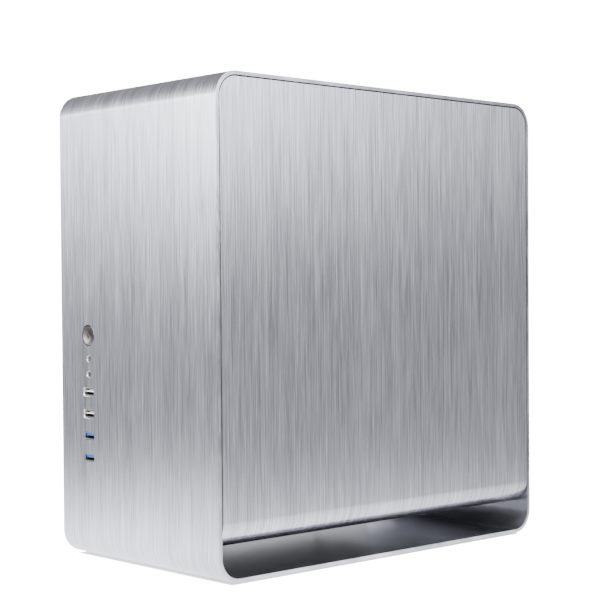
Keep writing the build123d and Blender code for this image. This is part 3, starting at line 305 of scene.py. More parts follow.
def turned_metal(name, middle, dark, light, roughness):
    """Aluminium faced on a lathe: rings about the middle, with a bright wedge where light crosses them."""
    material, tree, shader = new_material(name)
    ring_pitch = 0.25 * MM
    place = scaled_place(tree, (1, 1, 1), [-c for c in middle])
    distance = add_node(tree, "ShaderNodeVectorMath", {0: place}, operation="LENGTH")
    rings = add_node(tree, "ShaderNodeTexNoise", {"W": distance.outputs["Value"], "Scale": 1 / ring_pitch,
                                                  "Detail": 2.0}, noise_dimensions="1D")
    tree.links.new(tone(tree, rings.outputs[0], 0.3, 0.7, dark, light), shader.inputs["Base Color"])
    gloss = spread(tree, rings.outputs[0], roughness - 0.05, roughness + 0.08)
    tree.links.new(gloss, shader.inputs["Roughness"])
    relief(tree, shader, rings.outputs[0], 0.15, 0.1 * MM)
    shader.inputs["Metallic"].default_value = 1.0
    shader.inputs["Anisotropic"].default_value = 0.8
    tangent = add_node(tree, "ShaderNodeTangent", direction_type="RADIAL", axis="Y")
    tree.links.new(tangent.outputs[0], shader.inputs["Tangent"])
    return material


def solder_mask(name, dark, light):
    """Circuit board laminate under green solder mask: glossy, with darker gaps between copper tracks."""
    material, tree, shader = new_material(name)
    track_pitch = 4.0 * MM
    tracks = add_node(tree, "ShaderNodeTexBrick", {"Vector": scaled_place(tree, [1 / track_pitch] * 3),
                                                   "Scale": 1.0, "Mortar Size": 0.06, "Brick Width": 2.2,
                                                   "Row Height": 0.5,
                                                   "Color1": linear(dark), "Color2": linear(light),
                                                   "Mortar": linear(dark)})
    tree.links.new(tracks.outputs["Color"], shader.inputs["Base Color"])
    relief(tree, shader, tracks.outputs["Fac"], 0.2, 0.05 * MM, invert=True)
    shader.inputs["Roughness"].default_value = 0.3
    shader.inputs["IOR"].default_value = 1.55
    shader.inputs["Coat Weight"].default_value = 0.3
    return material


def woven_mesh(name, dark, light):
    """Nylon filter cloth: a plain weave of black threads, drawn at 1 mm so that it shows."""
    material, tree, shader = new_material(name)
    wave_scale = 1 / (1.0 * MM) / 6.283
    warp, weft = (add_node(tree, "ShaderNodeTexWave", {"Vector": scaled_place(tree, (1, 1, 1)),
                                                       "Scale": wave_scale}, bands_direction=direction)
                  for direction in "XY")
    weave = maths(tree, "MAXIMUM", warp.outputs["Fac"], weft.outputs["Fac"])
    tree.links.new(tone(tree, weave, 0.3, 0.9, dark, light), shader.inputs["Base Color"])
    relief(tree, shader, weave, 0.6, 0.2 * MM)
    shader.inputs["Roughness"].default_value = 0.7
    return material


button_low, button_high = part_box("power_button")
BUTTON_MIDDLE = ((button_low.x + button_high.x) / 2, button_low.y, (button_low.z + button_high.z) / 2)

ring_aluminium = brushed_aluminium("brushed_anodised_aluminium_ring", "X")
panel_aluminium = brushed_aluminium("brushed_anodised_aluminium_panel", "Y")
channel_aluminium = plain_metal("smooth_anodised_inner_floor", "#bcbdc2", "#c4c5ca", 0.2, 30 * MM)
# The ring's inner walls get the anodised metal in a darker tone: painted shade inside the case
shaded_inner_aluminium = plain_metal("satin_inner_face_painted_shade", "#7c7d82", "#85868b", 0.4, 30 * MM)
cut_aluminium = plain_metal("diamond_cut_edge", "#e6e6e8", "#f0f0f2", 0.22)
zinc_sheet = plain_metal("zinc_plated_steel_sheet", "#8d9093", "#a8abae", 0.38, 6 * MM)
tin_plate = plain_metal("bright_tin_plate", "#c9c9c6", "#dcdcda", 0.2)
polished_nickel = plain_metal("polished_nickel_plate", "#e9e7e2", "#f2f0ec", 0.3)
mill_aluminium = plain_metal("mill_finish_aluminium", "#b9bbbe", "#cccdd0", 0.32, 3 * MM)
nickel_steel = plain_metal("nickel_plated_screw_steel", "#a9a8a3", "#c2c1bc", 0.25)
nickel_copper = plain_metal("nickel_plated_copper", "#b8b2a6", "#cdc8bd", 0.18)
turned_brass = plain_metal("turned_brass", "#b08d45", "#cbab62", 0.28)
black_coat = moulded_plastic("black_powder_coat", "#121213", "#1b1b1c", 0.55, 0.8 * MM, 0.4)
black_abs = moulded_plastic("black_moulded_abs", "#0f0f10", "#171718", 0.5)
grey_pbt = moulded_plastic("dark_grey_pbt_fan_blade", "#2a2a2c", "#343437", 0.45)
white_nylon = moulded_plastic("white_nylon_clip", "#d6d3c8", "#e2dfd5", 0.5)
blue_nylon = moulded_plastic("blue_usb3_nylon", "#0b3a88", "#0f4698", 0.35)
black_rubber = moulded_plastic("black_moulded_rubber", "#0c0c0c", "#141414", 0.75, 1.2 * MM, 0.3)
green_board = solder_mask("green_solder_mask", "#0c3a20", "#125030")
filter_cloth = woven_mesh("black_nylon_filter_cloth", "#050505", "#1c1c1d")
# The button's metal is given a dark tone: a painted dark reflection of the dim room in its dish
button_metal_painted_dark = turned_metal("turned_aluminium_painted_dark_reflection", BUTTON_MIDDLE, "#4a4745", "#7a7673", 0.24)

SLOT_MATERIALS = {
    "silver_case": ring_aluminium, "steel_sheet": zinc_sheet, "black_plastic": black_abs,
    "grey_plastic": grey_pbt, "white_plastic": white_nylon, "blue_plastic": blue_nylon,
    "rubber": black_rubber, "turned_metal": button_metal_painted_dark, "tin_plate": tin_plate,
    "screw_steel": nickel_steel, "brass": turned_brass, "circuit_board": green_board,
    "bare_aluminium": mill_aluminium, "nickel_copper": nickel_copper, "black_case": black_coat,
    "filter_cloth": filter_cloth,
}
for subpart in frame["record"]["subparts"]:
    node_object = frame["nodes"][subpart["node"]]
    node_object.data.materials.clear()
    node_object.data.materials.append(SLOT_MATERIALS[subpart["material_slot"]])
    node_object.data.polygons.foreach_set("use_smooth", [True] * len(node_object.data.polygons))
    weld = node_object.modifiers.new("weld", "WELD")
    weld.merge_threshold = 0.001 * MM
    split = node_object.modifiers.new("split", "EDGE_SPLIT")
    split.split_angle = math.radians(32)


# =======================================================================================================
# Case: wrapped ring, side panels and feet
# =======================================================================================================
def lathe(name, middle, facing, profile, sides=64):
    """A turned piece: (radius, height) steps along the way it faces, from its back face to its front."""
    bpy.ops.object.select_all(action="DESELECT")
    bpy.ops.mesh.primitive_circle_add(vertices=sides, radius=profile[0][0], fill_type="NGON")
    piece = bpy.context.active_object
    bpy.ops.object.mode_set(mode="EDIT")
    bpy.ops.mesh.select_all(action="SELECT")
    bpy.ops.transform.translate(value=(0, 0, profile[0][1]))
    for (radius, height), (next_radius, next_height) in zip(profile, profile[1:]):
        bpy.ops.mesh.extrude_region_move(TRANSFORM_OT_translate={"value": (0, 0, next_height - height)})
        growth = next_radius / radius
        bpy.ops.transform.resize(value=(growth, growth, 1), center_override=(0, 0, next_height))
    bpy.ops.mesh.select_all(action="SELECT")
    bpy.ops.mesh.normals_make_consistent(inside=False)
    bpy.ops.object.mode_set(mode="OBJECT")
    piece.location = middle
    piece.rotation_euler = Vector(facing).to_track_quat("Z", "Y").to_euler()
    return settle(name)


def in_mm(*steps):
    """Lathe steps in metres from steps in millimetres."""
    return [(radius * MM, height * MM) for radius, height in steps]


def rounded_block(name, low, high, axis, radius, segments=6):
    """A block whose edges along one axis are rounded."""
    piece = block(name, low, high)
    choose(piece)
    index = "XYZ".index(axis)
    pick(piece, "EDGE", lambda middle, way: abs(way[index]) > 0.9)
    bpy.ops.mesh.bevel(offset=radius, segments=segments, affect="EDGES")
    end_edit()
    return piece


def moved_copy(piece, offset, turn=(0, 0, 0)):
    """A copy of a piece with its own mesh, turned and then moved."""
    copy = piece.copy()
    copy.data = piece.data.copy()
    bpy.context.scene.collection.objects.link(copy)
    choose(copy)
    copy.location = offset
    copy.rotation_euler = turn
    bpy.ops.object.transform_apply(location=True, rotation=True, scale=True)
    return copy


def copies(piece, places):
    """The piece itself and a copy of it at each further offset."""
    return [piece] + [moved_copy(piece, place) for place in places]


FRONT = shell_low.y
REAR = shell_high.y
CONTROL_X = (button_low.x + button_high.x) / 2
BUTTON_Z = BUTTON_MIDDLE[2]
JACK_HEIGHTS = [166.6 * MM, 153.8 * MM]
USB_HEIGHTS = [139.2 * MM, 121.1 * MM, 103.0 * MM, 84.9 * MM]
USB_WIDTH = 13.1 * MM
USB_HEIGHT = 5.7 * MM
USB_GAP = 0.35 * MM
USB_BORDER = 0.6 * MM
BORDER_DEPTH = 0.8 * MM
CUT_PAST = 2.0 * MM               # how far a cutter reaches past the face that it cuts
INNER_FRONT = FRONT + SHELL_WALL
INNER_REAR = REAR - SHELL_WALL


def wall_cut(x, z, width, height, radius, front=True):
    """Cut a rounded rectangular hole through the ring's front or back wall."""
    near = FRONT if front else INNER_REAR
    low = (x - width / 2, near - CUT_PAST, z - height / 2)
    high = (x + width / 2, near + SHELL_WALL + CUT_PAST, z + height / 2)
    cut(shell, rounded_block("cutter", low, high, "Y", radius) if radius else block("cutter", low, high))


def wall_bore(x, z, radius, front=True):
    """Drill a round hole through the ring's front or back wall."""
    near = FRONT if front else INNER_REAR
    cut(shell, rod("cutter", (x, near + SHELL_WALL / 2, z), radius, SHELL_WALL + 2 * CUT_PAST, "Y", 64))


shell = block("case_ring", shell_low, shell_high)
choose(shell)
pick(shell, "EDGE", lambda middle, way: abs(way.x) > 0.9)
bpy.ops.mesh.bevel(offset=CORNER_RADIUS, segments=24, affect="EDGES")
pick(shell, "FACE", lambda middle, normal: abs(normal.x) > 0.9)
bpy.ops.mesh.inset(thickness=SHELL_WALL, use_even_offset=True)
bpy.ops.mesh.bridge_edge_loops()
end_edit()

wall_bore(CONTROL_X, BUTTON_Z, 8.8 * MM)
for jack_z in JACK_HEIGHTS:
    wall_bore(CONTROL_X, jack_z, 3.4 * MM)
for usb_z in USB_HEIGHTS:
    wall_cut(CONTROL_X, usb_z, USB_WIDTH + 2 * USB_GAP, USB_HEIGHT + 2 * USB_GAP, 0.8 * MM)
for usb_z in USB_HEIGHTS[:2]:
    # The edge of each upper opening is cut back to a bright sloping border
    half_width = USB_WIDTH / 2 + USB_GAP + 2 * USB_BORDER
    half_height = USB_HEIGHT / 2 + USB_GAP + 2 * USB_BORDER
    border = rounded_block("cutter", (CONTROL_X - half_width, FRONT - BORDER_DEPTH, usb_z - half_height),
                           (CONTROL_X + half_width, FRONT + BORDER_DEPTH, usb_z + half_height), "Y", 2.2 * MM)
    pick(border, "FACE", lambda middle, normal: normal.y > 0.9)
    bpy.ops.transform.resize(value=(1 - 2 * USB_BORDER / half_width, 1, 1 - 2 * USB_BORDER / half_height),
                             center_override=(CONTROL_X, FRONT + BORDER_DEPTH, usb_z))
    end_edit()
    cut(shell, border)

# Back wall: sockets, expansion openings, power supply window, fan grille and countersunk screw holes
SHIELD_FLANGE = 1.6 * MM
COVER_WIDTH = 18.42 * MM
COVER_SHEET = 0.9 * MM
COVER_ENDS = 14 * MM              # length of a cover that the wall hides, both ends together
SLOT_PITCH = 20.32 * MM
SLOT_OPENING = 12.7 * MM
PSU_FRAME_WIDTH = 12 * MM         # wall around the power supply's window, at its sides
PSU_FRAME_HEIGHT = 4 * MM         # and at its top and bottom
PSU_SCREWS = (69 * MM, 37 * MM)   # from the middle of the power supply, across and up
SCREW_SPREAD = 52.5 * MM          # from the middle of the fan, across and up
GRILLE_SLOT = 7.0 * MM
GRILLE_PITCH = 10.5 * MM
shield_low, shield_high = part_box("io_shield")
io_middle = (shield_low + shield_high) / 2
wall_cut(io_middle.x, io_middle.z, shield_high.x - shield_low.x - 2 * SHIELD_FLANGE,
         shield_high.z - shield_low.z - 2 * SHIELD_FLANGE, 0, front=False)
cover_low, cover_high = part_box("slot_covers")
cover_middle_x = (cover_low.x + COVER_SHEET + cover_high.x) / 2
slot_width = cover_high.x - cover_low.x - COVER_SHEET - COVER_ENDS
for slot in range(4):
    slot_z = cover_low.z + COVER_WIDTH / 2 + SLOT_PITCH * slot
    wall_cut(cover_middle_x, slot_z, slot_width, SLOT_OPENING, 1.5 * MM, front=False)
psu_low, psu_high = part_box("psu_case")
psu_middle = (psu_low + psu_high) / 2
wall_cut(psu_middle.x, psu_middle.z, psu_high.x - psu_low.x - 2 * PSU_FRAME_WIDTH,
         psu_high.z - psu_low.z - 2 * PSU_FRAME_HEIGHT, 2 * MM, front=False)
rear_fan_low, rear_fan_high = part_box("rear_fan_frame")
rear_fan = (rear_fan_low + rear_fan_high) / 2
FAN_BORE = (rear_fan_high.x - rear_fan_low.x - 6 * MM) / 2
for ring in range(5):
    slot_outer = FAN_BORE - ring * GRILLE_PITCH
    middle = (rear_fan.x, REAR - SHELL_WALL / 2, rear_fan.z)
    cutter = rod("cutter", middle, slot_outer, SHELL_WALL + 2 * CUT_PAST, "Y", 96)
    cut(cutter, rod("core", middle, slot_outer - GRILLE_SLOT, 4 * SHELL_WALL, "Y", 96))
    for turn in (45, 135):
        bpy.ops.object.select_all(action="DESELECT")
        bpy.ops.mesh.primitive_cube_add(size=1.0, location=middle, rotation=(0, math.radians(turn), 0))
        bpy.context.active_object.scale = (4 * FAN_BORE, 4 * SHELL_WALL, GRILLE_SLOT)
        cut(cutter, settle("spoke"))
    cut(shell, cutter)
rear_screws = []
for middle, across, up in ((psu_middle, *PSU_SCREWS), (rear_fan, SCREW_SPREAD, SCREW_SPREAD)):
    rear_screws += [(middle.x + sx * across, middle.z + sz * up) for sx in (-1, 1) for sz in (-1, 1)]
for screw_x, screw_z in rear_screws:
    cut(shell, lathe("cutter", (screw_x, REAR, screw_z), (0, 1, 0),
                     in_mm((1.8, -5), (1.8, -1.8), (3.6, 0), (3.6, 1)), 32))
soften(shell, SHELL_CHAMFER, 2)
finish_piece(shell, ring_aluminium, "chassis", "silver_case", "outer_shell")
for other_finish in (shaded_inner_aluminium, cut_aluminium, channel_aluminium):
    shell.data.materials.append(other_finish)
OUTSIDE, INSIDE, CUT_BORDER, CHANNEL_FLOOR = range(4)
ring_middle = Vector((0, 0, (shell_low.z + shell_high.z) / 2))
inner_half_height = (shell_high.z - shell_low.z) / 2 - SHELL_WALL + 0.01 * MM
inner_half_depth = REAR - SHELL_WALL + 0.01 * MM
# Inward faces above the floor take the darker inner tone, the painted shade inside the case
for face in shell.data.polygons:
    from_middle = face.center - ring_middle
    depth = face.center.y - FRONT
    faces_inwards = face.normal.y * from_middle.y + face.normal.z * from_middle.z < 0
    if faces_inwards and abs(from_middle.y) < inner_half_depth and abs(from_middle.z) < inner_half_height:
        on_floor = face.center.z < shell_low.z + SHELL_WALL + 0.01 * MM
        face.material_index = CHANNEL_FLOOR if on_floor else INSIDE
    elif abs(face.center.x - CONTROL_X) < 9 * MM and 0.02 * MM < depth < BORDER_DEPTH + 0.1 * MM:
        from_socket = min(abs(face.center.z - usb_z) for usb_z in USB_HEIGHTS[:2])
        face.material_index = CUT_BORDER if from_socket < 5 * MM else OUTSIDE


def make_side_panel(name, side):
    """A flat sheet with rounded top corners; its lower edge is spun inwards and ends in a lip."""
    low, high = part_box(f"{name}_side_panel")
    outer = high.x if side > 0 else low.x
    inner = outer - side * PANEL_SHEET
    roll_z = low.z + SKIRT_RADIUS
    panel = block(f"{name}_brushed_panel", (min(inner, outer), low.y, roll_z),
                  (max(inner, outer), high.y, high.z))
    choose(panel)
    pick(panel, "EDGE", lambda middle, way: abs(way.x) > 0.9 and middle.z > high.z - 0.001)
    bpy.ops.mesh.bevel(offset=PANEL_CORNER, segments=20, affect="EDGES")
    pick(panel, "FACE", lambda middle, normal: normal.z < -0.9)
    bpy.ops.mesh.spin(steps=24, angle=-side * math.pi / 2, center=(outer - side * SKIRT_RADIUS, 0, roll_z),
                      axis=(0, 1, 0))
    bpy.ops.mesh.extrude_region_move(TRANSFORM_OT_translate={"value": (-side * SKIRT_LIP, 0, 0)})
    bpy.ops.mesh.select_all(action="SELECT")
    bpy.ops.mesh.remove_doubles(threshold=0.001 * MM)
    bpy.ops.mesh.normals_make_consistent(inside=False)
    end_edit()
    soften(panel, PANEL_CHAMFER, 2)
    return panel


for panel_name, panel_side in (("left", -1), ("right", 1)):
    new_panel = make_side_panel(panel_name, panel_side)
    finish_piece(new_panel, panel_aluminium, f"{panel_name}_panel", "silver_case", f"{panel_name}_side_panel")

feet_low, feet_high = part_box("feet")
FOOT_RADIUS = 10 * MM
foot = lathe("rubber_foot", (feet_high.x - FOOT_RADIUS, feet_high.y - FOOT_RADIUS, 0), (0, 0, 1),
             in_mm((6.0, 0.35), (6.3, 0.35), (6.8, 0), (9.5, 0), (9.85, 0.15), (10, 0.5), (10, 1.5)))
left_step = feet_low.x - feet_high.x + 2 * FOOT_RADIUS
front_step = feet_low.y - feet_high.y + 2 * FOOT_RADIUS
feet = join("rubber_feet", copies(foot, [(left_step, 0, 0), (0, front_step, 0), (left_step, front_step, 0)]))
smooth(feet)
finish_piece(feet, black_rubber, "chassis", "rubber", "feet")

# =======================================================================================================
# Front controls and sockets
# =======================================================================================================
power_button = lathe("dished_power_button", (CONTROL_X, FRONT, BUTTON_Z), (0, -1, 0), in_mm(
    (2.5, -10.8), (2.5, -4.5), (9.7, -4.5), (9.7, -3.1), (8.5, -3.1), (8.5, -0.75), (8.42, -0.5),
    (8.05, -0.1), (7.9, 0), (7.5, 0), (7.35, -0.06), (6.6, -0.25), (5.6, -0.49), (4.4, -0.73),
    (3.0, -0.93), (1.5, -1.05), (0.4, -1.1)), 128)
# The power mark: a ring with a gap at its top and a bar in the gap, both cut into the dish
MARK_FRONT = FRONT - CUT_PAST
MARK_BACK = FRONT + 1.35 * MM
mark_middle = (CONTROL_X, (MARK_FRONT + MARK_BACK) / 2, BUTTON_Z)
on_mark = rod("cutter", mark_middle, 2.45 * MM, MARK_BACK - MARK_FRONT, "Y", 48)
cut(on_mark, rod("core", mark_middle, 1.95 * MM, 8 * MM, "Y", 48))
cut(on_mark, block("gap", (CONTROL_X - 1.0 * MM, MARK_FRONT - CUT_PAST, BUTTON_Z),
                   (CONTROL_X + 1.0 * MM, MARK_BACK + CUT_PAST, BUTTON_Z + 4 * MM)))
cut(power_button, on_mark)
cut(power_button, block("bar", (CONTROL_X - 0.25 * MM, MARK_FRONT, BUTTON_Z + 0.6 * MM),
                        (CONTROL_X + 0.25 * MM, MARK_BACK, BUTTON_Z + 3.2 * MM)))
smooth(power_button, 25)
finish_piece(power_button, button_metal_painted_dark, "button", "turned_metal", "power_button")

jack = lathe("jack_socket", (CONTROL_X, FRONT + 0.4 * MM, JACK_HEIGHTS[0]), (0, -1, 0), in_mm(
    (3.1, -16.6), (3.1, -0.3), (3.02, -0.1), (2.9, 0), (2.75, 0), (2.6, -0.12), (2.5, -0.4), (2.45, -3.0),
    (1.8, -3.1), (1.8, -14)), 64)
jacks = join("jack_sockets", copies(jack, [(0, 0, JACK_HEIGHTS[1] - JACK_HEIGHTS[0])]))
smooth(jacks, 30)
finish_piece(jacks, polished_nickel, "chassis", "tin_plate", "audio_jacks")
jack_throat = lathe("jack_throat", (CONTROL_X, FRONT + 0.4 * MM, JACK_HEIGHTS[0]), (0, -1, 0), in_mm(
    (2.4, -3.0), (2.4, -2.5), (2.3, -2.35), (2.0, -2.3), (1.85, -2.4)), 64)
cut(jack_throat, rod("cutter", (CONTROL_X, FRONT + 3 * MM, JACK_HEIGHTS[0]), 1.8 * MM, 4 * MM, "Y", 64))
jack_throats = join("jack_throats", copies(jack_throat, [(0, 0, JACK_HEIGHTS[1] - JACK_HEIGHTS[0])]))
smooth(jack_throats, 30)
finish_piece(jack_throats, black_abs, "chassis", "black_plastic")

USB_FRONT = FRONT + 0.5 * MM
IO_BOARD_FRONT = INNER_FRONT + 14 * MM
USB_SHEET = 0.35 * MM
TAB_HALF_WIDTH = 1.1 * MM
TONGUE_HALF_WIDTH = 5.5 * MM
TONGUE_LOW = 0.1 * MM             # from the middle of the socket
TONGUE_TOP = 2.3 * MM
LOW_NOSE_TOP = 1.1 * MM


def socket_shell(name, z):
    """A drawn tin-plate sleeve, open to the front, with two spring tabs cut in its top and bottom."""
    sleeve = rounded_block(name, (CONTROL_X - USB_WIDTH / 2, USB_FRONT, z - USB_HEIGHT / 2),
                           (CONTROL_X + USB_WIDTH / 2, IO_BOARD_FRONT, z + USB_HEIGHT / 2), "Y", 0.5 * MM, 4)
    choose(sleeve)
    pick(sleeve, "FACE", lambda middle, normal: normal.y < -0.9)
    bpy.ops.mesh.inset(thickness=USB_SHEET, use_even_offset=True)
    bpy.ops.mesh.extrude_region_move(TRANSFORM_OT_translate={"value": (0, 14.0 * MM, 0)})
    end_edit()
    for side in (-1, 1):
        for tab_x in (-3.2 * MM, 3.2 * MM):
            wall_z = z + side * USB_HEIGHT / 2
            tab_left, tab_right = CONTROL_X + tab_x - TAB_HALF_WIDTH, CONTROL_X + tab_x + TAB_HALF_WIDTH
            cut(sleeve, block("tab_gap", (tab_left, USB_FRONT + 3.5 * MM, wall_z - 0.5 * MM),
                              (tab_right, USB_FRONT + 9.0 * MM, wall_z + 0.5 * MM)))
    return sleeve


def socket_shade_liner(name, z):
    """A black sheet that lines a socket behind its metal rim: painted shade for the dark inside of the
    socket.
    """
    half_width = USB_WIDTH / 2 - USB_SHEET - 0.05 * MM
    half_height = USB_HEIGHT / 2 - USB_SHEET - 0.05 * MM
    shade_liner = block(name, (CONTROL_X - half_width, USB_FRONT + 1.6 * MM, z - half_height),
                  (CONTROL_X + half_width, USB_FRONT + 13.5 * MM, z + half_height))
    choose(shade_liner)
    pick(shade_liner, "FACE", lambda middle, normal: normal.y < -0.9)
    bpy.ops.mesh.inset(thickness=0.3 * MM, use_even_offset=True)
    bpy.ops.mesh.extrude_region_move(TRANSFORM_OT_translate={"value": (0, 11.0 * MM, 0)})
    end_edit()
    return shade_liner


def socket_tongue(name, z, nose_top):
    """The tongue inside a socket: its nose is rounded, and can be lower than the rest."""
    left, right = CONTROL_X - TONGUE_HALF_WIDTH, CONTROL_X + TONGUE_HALF_WIDTH
    tongue = block(name, (left, FRONT + 4.4 * MM, z + TONGUE_LOW), (right, FRONT + 14.5 * MM, z + TONGUE_TOP))
    nose = block("nose", (left, FRONT + 1.4 * MM, z + TONGUE_LOW), (right, FRONT + 5.4 * MM, z + nose_top))
    modify(tongue, "BOOLEAN", operation="UNION", solver="EXACT", object=nose)
    bpy.data.objects.remove(nose)
    soften(tongue, 0.3 * MM, 2)
    return tongue


def tongue_contacts(name, z):
    """Four gold-plated springs under a tongue."""
    spring = block(name, (CONTROL_X - 4.0 * MM, FRONT + 2.4 * MM, z + TONGUE_LOW - 0.15 * MM),
                   (CONTROL_X - 3.0 * MM, FRONT + 11.0 * MM, z + TONGUE_LOW + 0.05 * MM))
    soften(spring, 0.05 * MM, 1)
    steps = (2.5 * MM, 4.5 * MM, 7.0 * MM)
    return copies(spring, [(step, 0, 0) for step in steps])


sleeves = join("usb_socket_shells", [socket_shell("sleeve", z) for z in USB_HEIGHTS])
soften(sleeves, 0.08 * MM, 2)
finish_piece(sleeves, tin_plate, "chassis", "tin_plate", "usb_shells")
# Painted shade: black linings darken the inside of each socket
shade_liners = join("usb_socket_painted_shade_liners", [socket_shade_liner("shade_liner", z) for z in USB_HEIGHTS])
smooth(shade_liners)
finish_piece(shade_liners, black_abs, "chassis", "black_plastic")
white_tongues = [socket_tongue("tongue", z, LOW_NOSE_TOP) for z in USB_HEIGHTS[:2]]
finish_piece(join("usb2_socket_tongues", white_tongues), white_nylon, "chassis", "white_plastic",
             "usb2_tongues")
blue_tongues = [socket_tongue("tongue", z, TONGUE_TOP) for z in USB_HEIGHTS[2:]]
finish_piece(join("usb3_socket_tongues", blue_tongues), blue_nylon, "chassis", "blue_plastic",
             "usb3_tongues")
springs = [spring for z in USB_HEIGHTS for spring in tongue_contacts("contact", z)]
contacts = join("usb_socket_contacts", springs)
finish_piece(contacts, turned_brass, "chassis", "brass")

# =======================================================================================================
# Fan rotors
# =======================================================================================================
HUB_RADIUS = 20.0 * MM
BLADE_TIP = 55.5 * MM
CAMBER_RADIUS = 35.5 * MM
CAMBER_MIDDLE = (16.8 * MM, -15.8 * MM)   # of a blade's arc, across the hub and along the shaft
BLADE_SHEET = 1.5 * MM
BLADE_COUNT = 7
BLADE_SWEEP = math.radians(51)            # the angle of its arc that a blade covers
BLADE_START = math.radians(57.1)          # how far the arc is turned back from the top of its circle
SHAFT_END = 23.7 * MM


def fan_blade():
    """One curved blade: a thin strip spun through its camber and trimmed to a round tip."""
    across, along = CAMBER_MIDDLE
    inner, outer = CAMBER_RADIUS - BLADE_SHEET / 2, CAMBER_RADIUS + BLADE_SHEET / 2
    blade = block("blade", (HUB_RADIUS - 1.5 * MM, across - 0.1 * MM, along + inner),
                  (BLADE_TIP + 3 * MM, across, along + outer))
    choose(blade)
    pick(blade, "FACE", lambda middle, normal: normal.y > 0.9)
    bpy.ops.mesh.spin(steps=10, angle=BLADE_SWEEP, center=(0, across, along), axis=(1, 0, 0))
    bpy.ops.mesh.select_all(action="SELECT")
    bpy.ops.mesh.remove_doubles(threshold=0.001 * MM)
    bpy.ops.mesh.normals_make_consistent(inside=False)
    bpy.ops.transform.rotate(value=-BLADE_START, orient_axis="X", center_override=(0, across, along))
    end_edit()
    tip = rod("tip", (0, 0, 10 * MM), BLADE_TIP, 60 * MM, "Z", 128)
    modify(blade, "BOOLEAN", operation="INTERSECT", solver="EXACT", object=tip)
    bpy.data.objects.remove(tip)
    soften(blade, 0.35 * MM, 2)
    return blade


def fan_rotor():
    """Hub, shaft and blades about the Z axis, with the hub's closed face down."""
    hub = lathe("hub", (0, 0, 0), (0, 0, -1), in_mm(
        (1.5, -23.7), (1.5, -3.0), (18.5, -3.0), (18.5, -21.4), (20, -21.4), (20, -3.0), (19.8, -2.4),
        (19.3, -1.9), (18.5, -1.5), (16, -1.5), (15.6, -1.7), (0.5, -1.7)), 96)
    smooth(hub, 30)
    blade = fan_blade()
    turns = [2 * math.pi * i / BLADE_COUNT for i in range(BLADE_COUNT)]
    parts = [hub] + [moved_copy(blade, (0, 0, 0), (0, 0, turn)) for turn in turns]
    bpy.data.objects.remove(blade)
    return join("fan_rotor", parts)


rotor_pattern = fan_rotor()
for fan_name in ("rear_fan", "cooler_fan", "psu_fan", "front_bottom_fan", "back_bottom_fan"):
    low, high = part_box(f"{fan_name}_rotor")
    middle = (low + high) / 2
    upright = high.y - low.y < high.x - low.x - 10 * MM
    if upright:
        place = (middle.x, high.y - SHAFT_END, middle.z)
        rotor = moved_copy(rotor_pattern, place, (-math.pi / 2, 0, 0))
    else:
        rotor = moved_copy(rotor_pattern, (middle.x, middle.y, high.z - SHAFT_END))
    rotor.name = rotor.data.name = f"{fan_name}_moulded_rotor"
    finish_piece(rotor, grey_pbt, fan_name, "grey_plastic", f"{fan_name}_rotor")
bpy.data.objects.remove(rotor_pattern)

# =======================================================================================================
# Floor, light and camera
# =======================================================================================================
PEAK = 4.0                        # the brightness that white stands for in the ramps below
# The shadow line under the case is painted onto the floor
PAINTED_SHADOW_EDGE = 2 * MM              # width of the shadow line's soft edge
FLOOR_GLOW = 16.0
BACKDROP_GLOW = 17.0
POOL_REACH = 4.0                  # metres
# Brightness of the floor's light by the distance in metres from the middle of the pool
POOL = [(0.15, 3.4), (0.3, 2.2), (0.6, 1.05), (1.0, 0.54), (1.8, 0.45), (4.0, 0.42)]
# Brightness of the room by elevation in degrees: a dim band at eye level under a tall soft light
ROOM = [(-10, 0.42), (0.5, 0.46), (3.5, 1.25), (6.5, 2.7), (11, 3.4), (18, 1.5), (35, 1.3), (60, 1.4),
        (90, 2.6)]


def spread_levels(ramp, levels):
    """Set a ramp's stops from pairs of position and brightness."""
    while len(ramp.elements) < len(levels):
        ramp.elements.new(0.5)
    for element, (position, level) in zip(ramp.elements, levels):
        element.position = position
        element.color = (level / PEAK, level / PEAK, level / PEAK * 1.05, 1)


bpy.ops.object.select_all(action="DESELECT")
bpy.ops.mesh.primitive_plane_add(size=40.0, location=(0, 0, 0))
floor = bpy.context.active_object
floor.name = "floor"
floor_material = bpy.data.materials.new("pale_studio_floor")
floor_material.use_nodes = True
floor_tree = floor_material.node_tree
floor_tree.nodes.clear()
seen_shader = add_node(floor_tree, "ShaderNodeBsdfDiffuse", {"Color": (0.9, 0.9, 0.9, 1)})
# Under the case the floor's glow is left out by place alone, a painted shadow, which shows as a dark line
# between the case and the floor
floor_place = add_node(floor_tree, "ShaderNodeTexCoord")
floor_axes = add_node(floor_tree, "ShaderNodeSeparateXYZ", {"Vector": floor_place.outputs["Object"]})
outside = []
for axis, half_size in (("X", shell_high.x), ("Y", shell_high.y - 12 * MM)):
    away = maths(floor_tree, "ABSOLUTE", floor_axes.outputs[axis])
    outside.append(spread(floor_tree, away, 0.0, 1.0, half_size - PAINTED_SHADOW_EDGE, half_size))
# Painted shadow: the floor glows only outside the case's footprint
beyond_painted_shadow = maths(floor_tree, "MAXIMUM", outside[0], outside[1])
glow = maths(floor_tree, "MULTIPLY", beyond_painted_shadow, FLOOR_GLOW)
seen_glow = add_node(floor_tree, "ShaderNodeEmission", {"Color": (1, 1, 1, 1), "Strength": glow})
seen_floor = add_node(floor_tree, "ShaderNodeAddShader", {0: seen_shader.outputs[0], 1: seen_glow.outputs[0]})
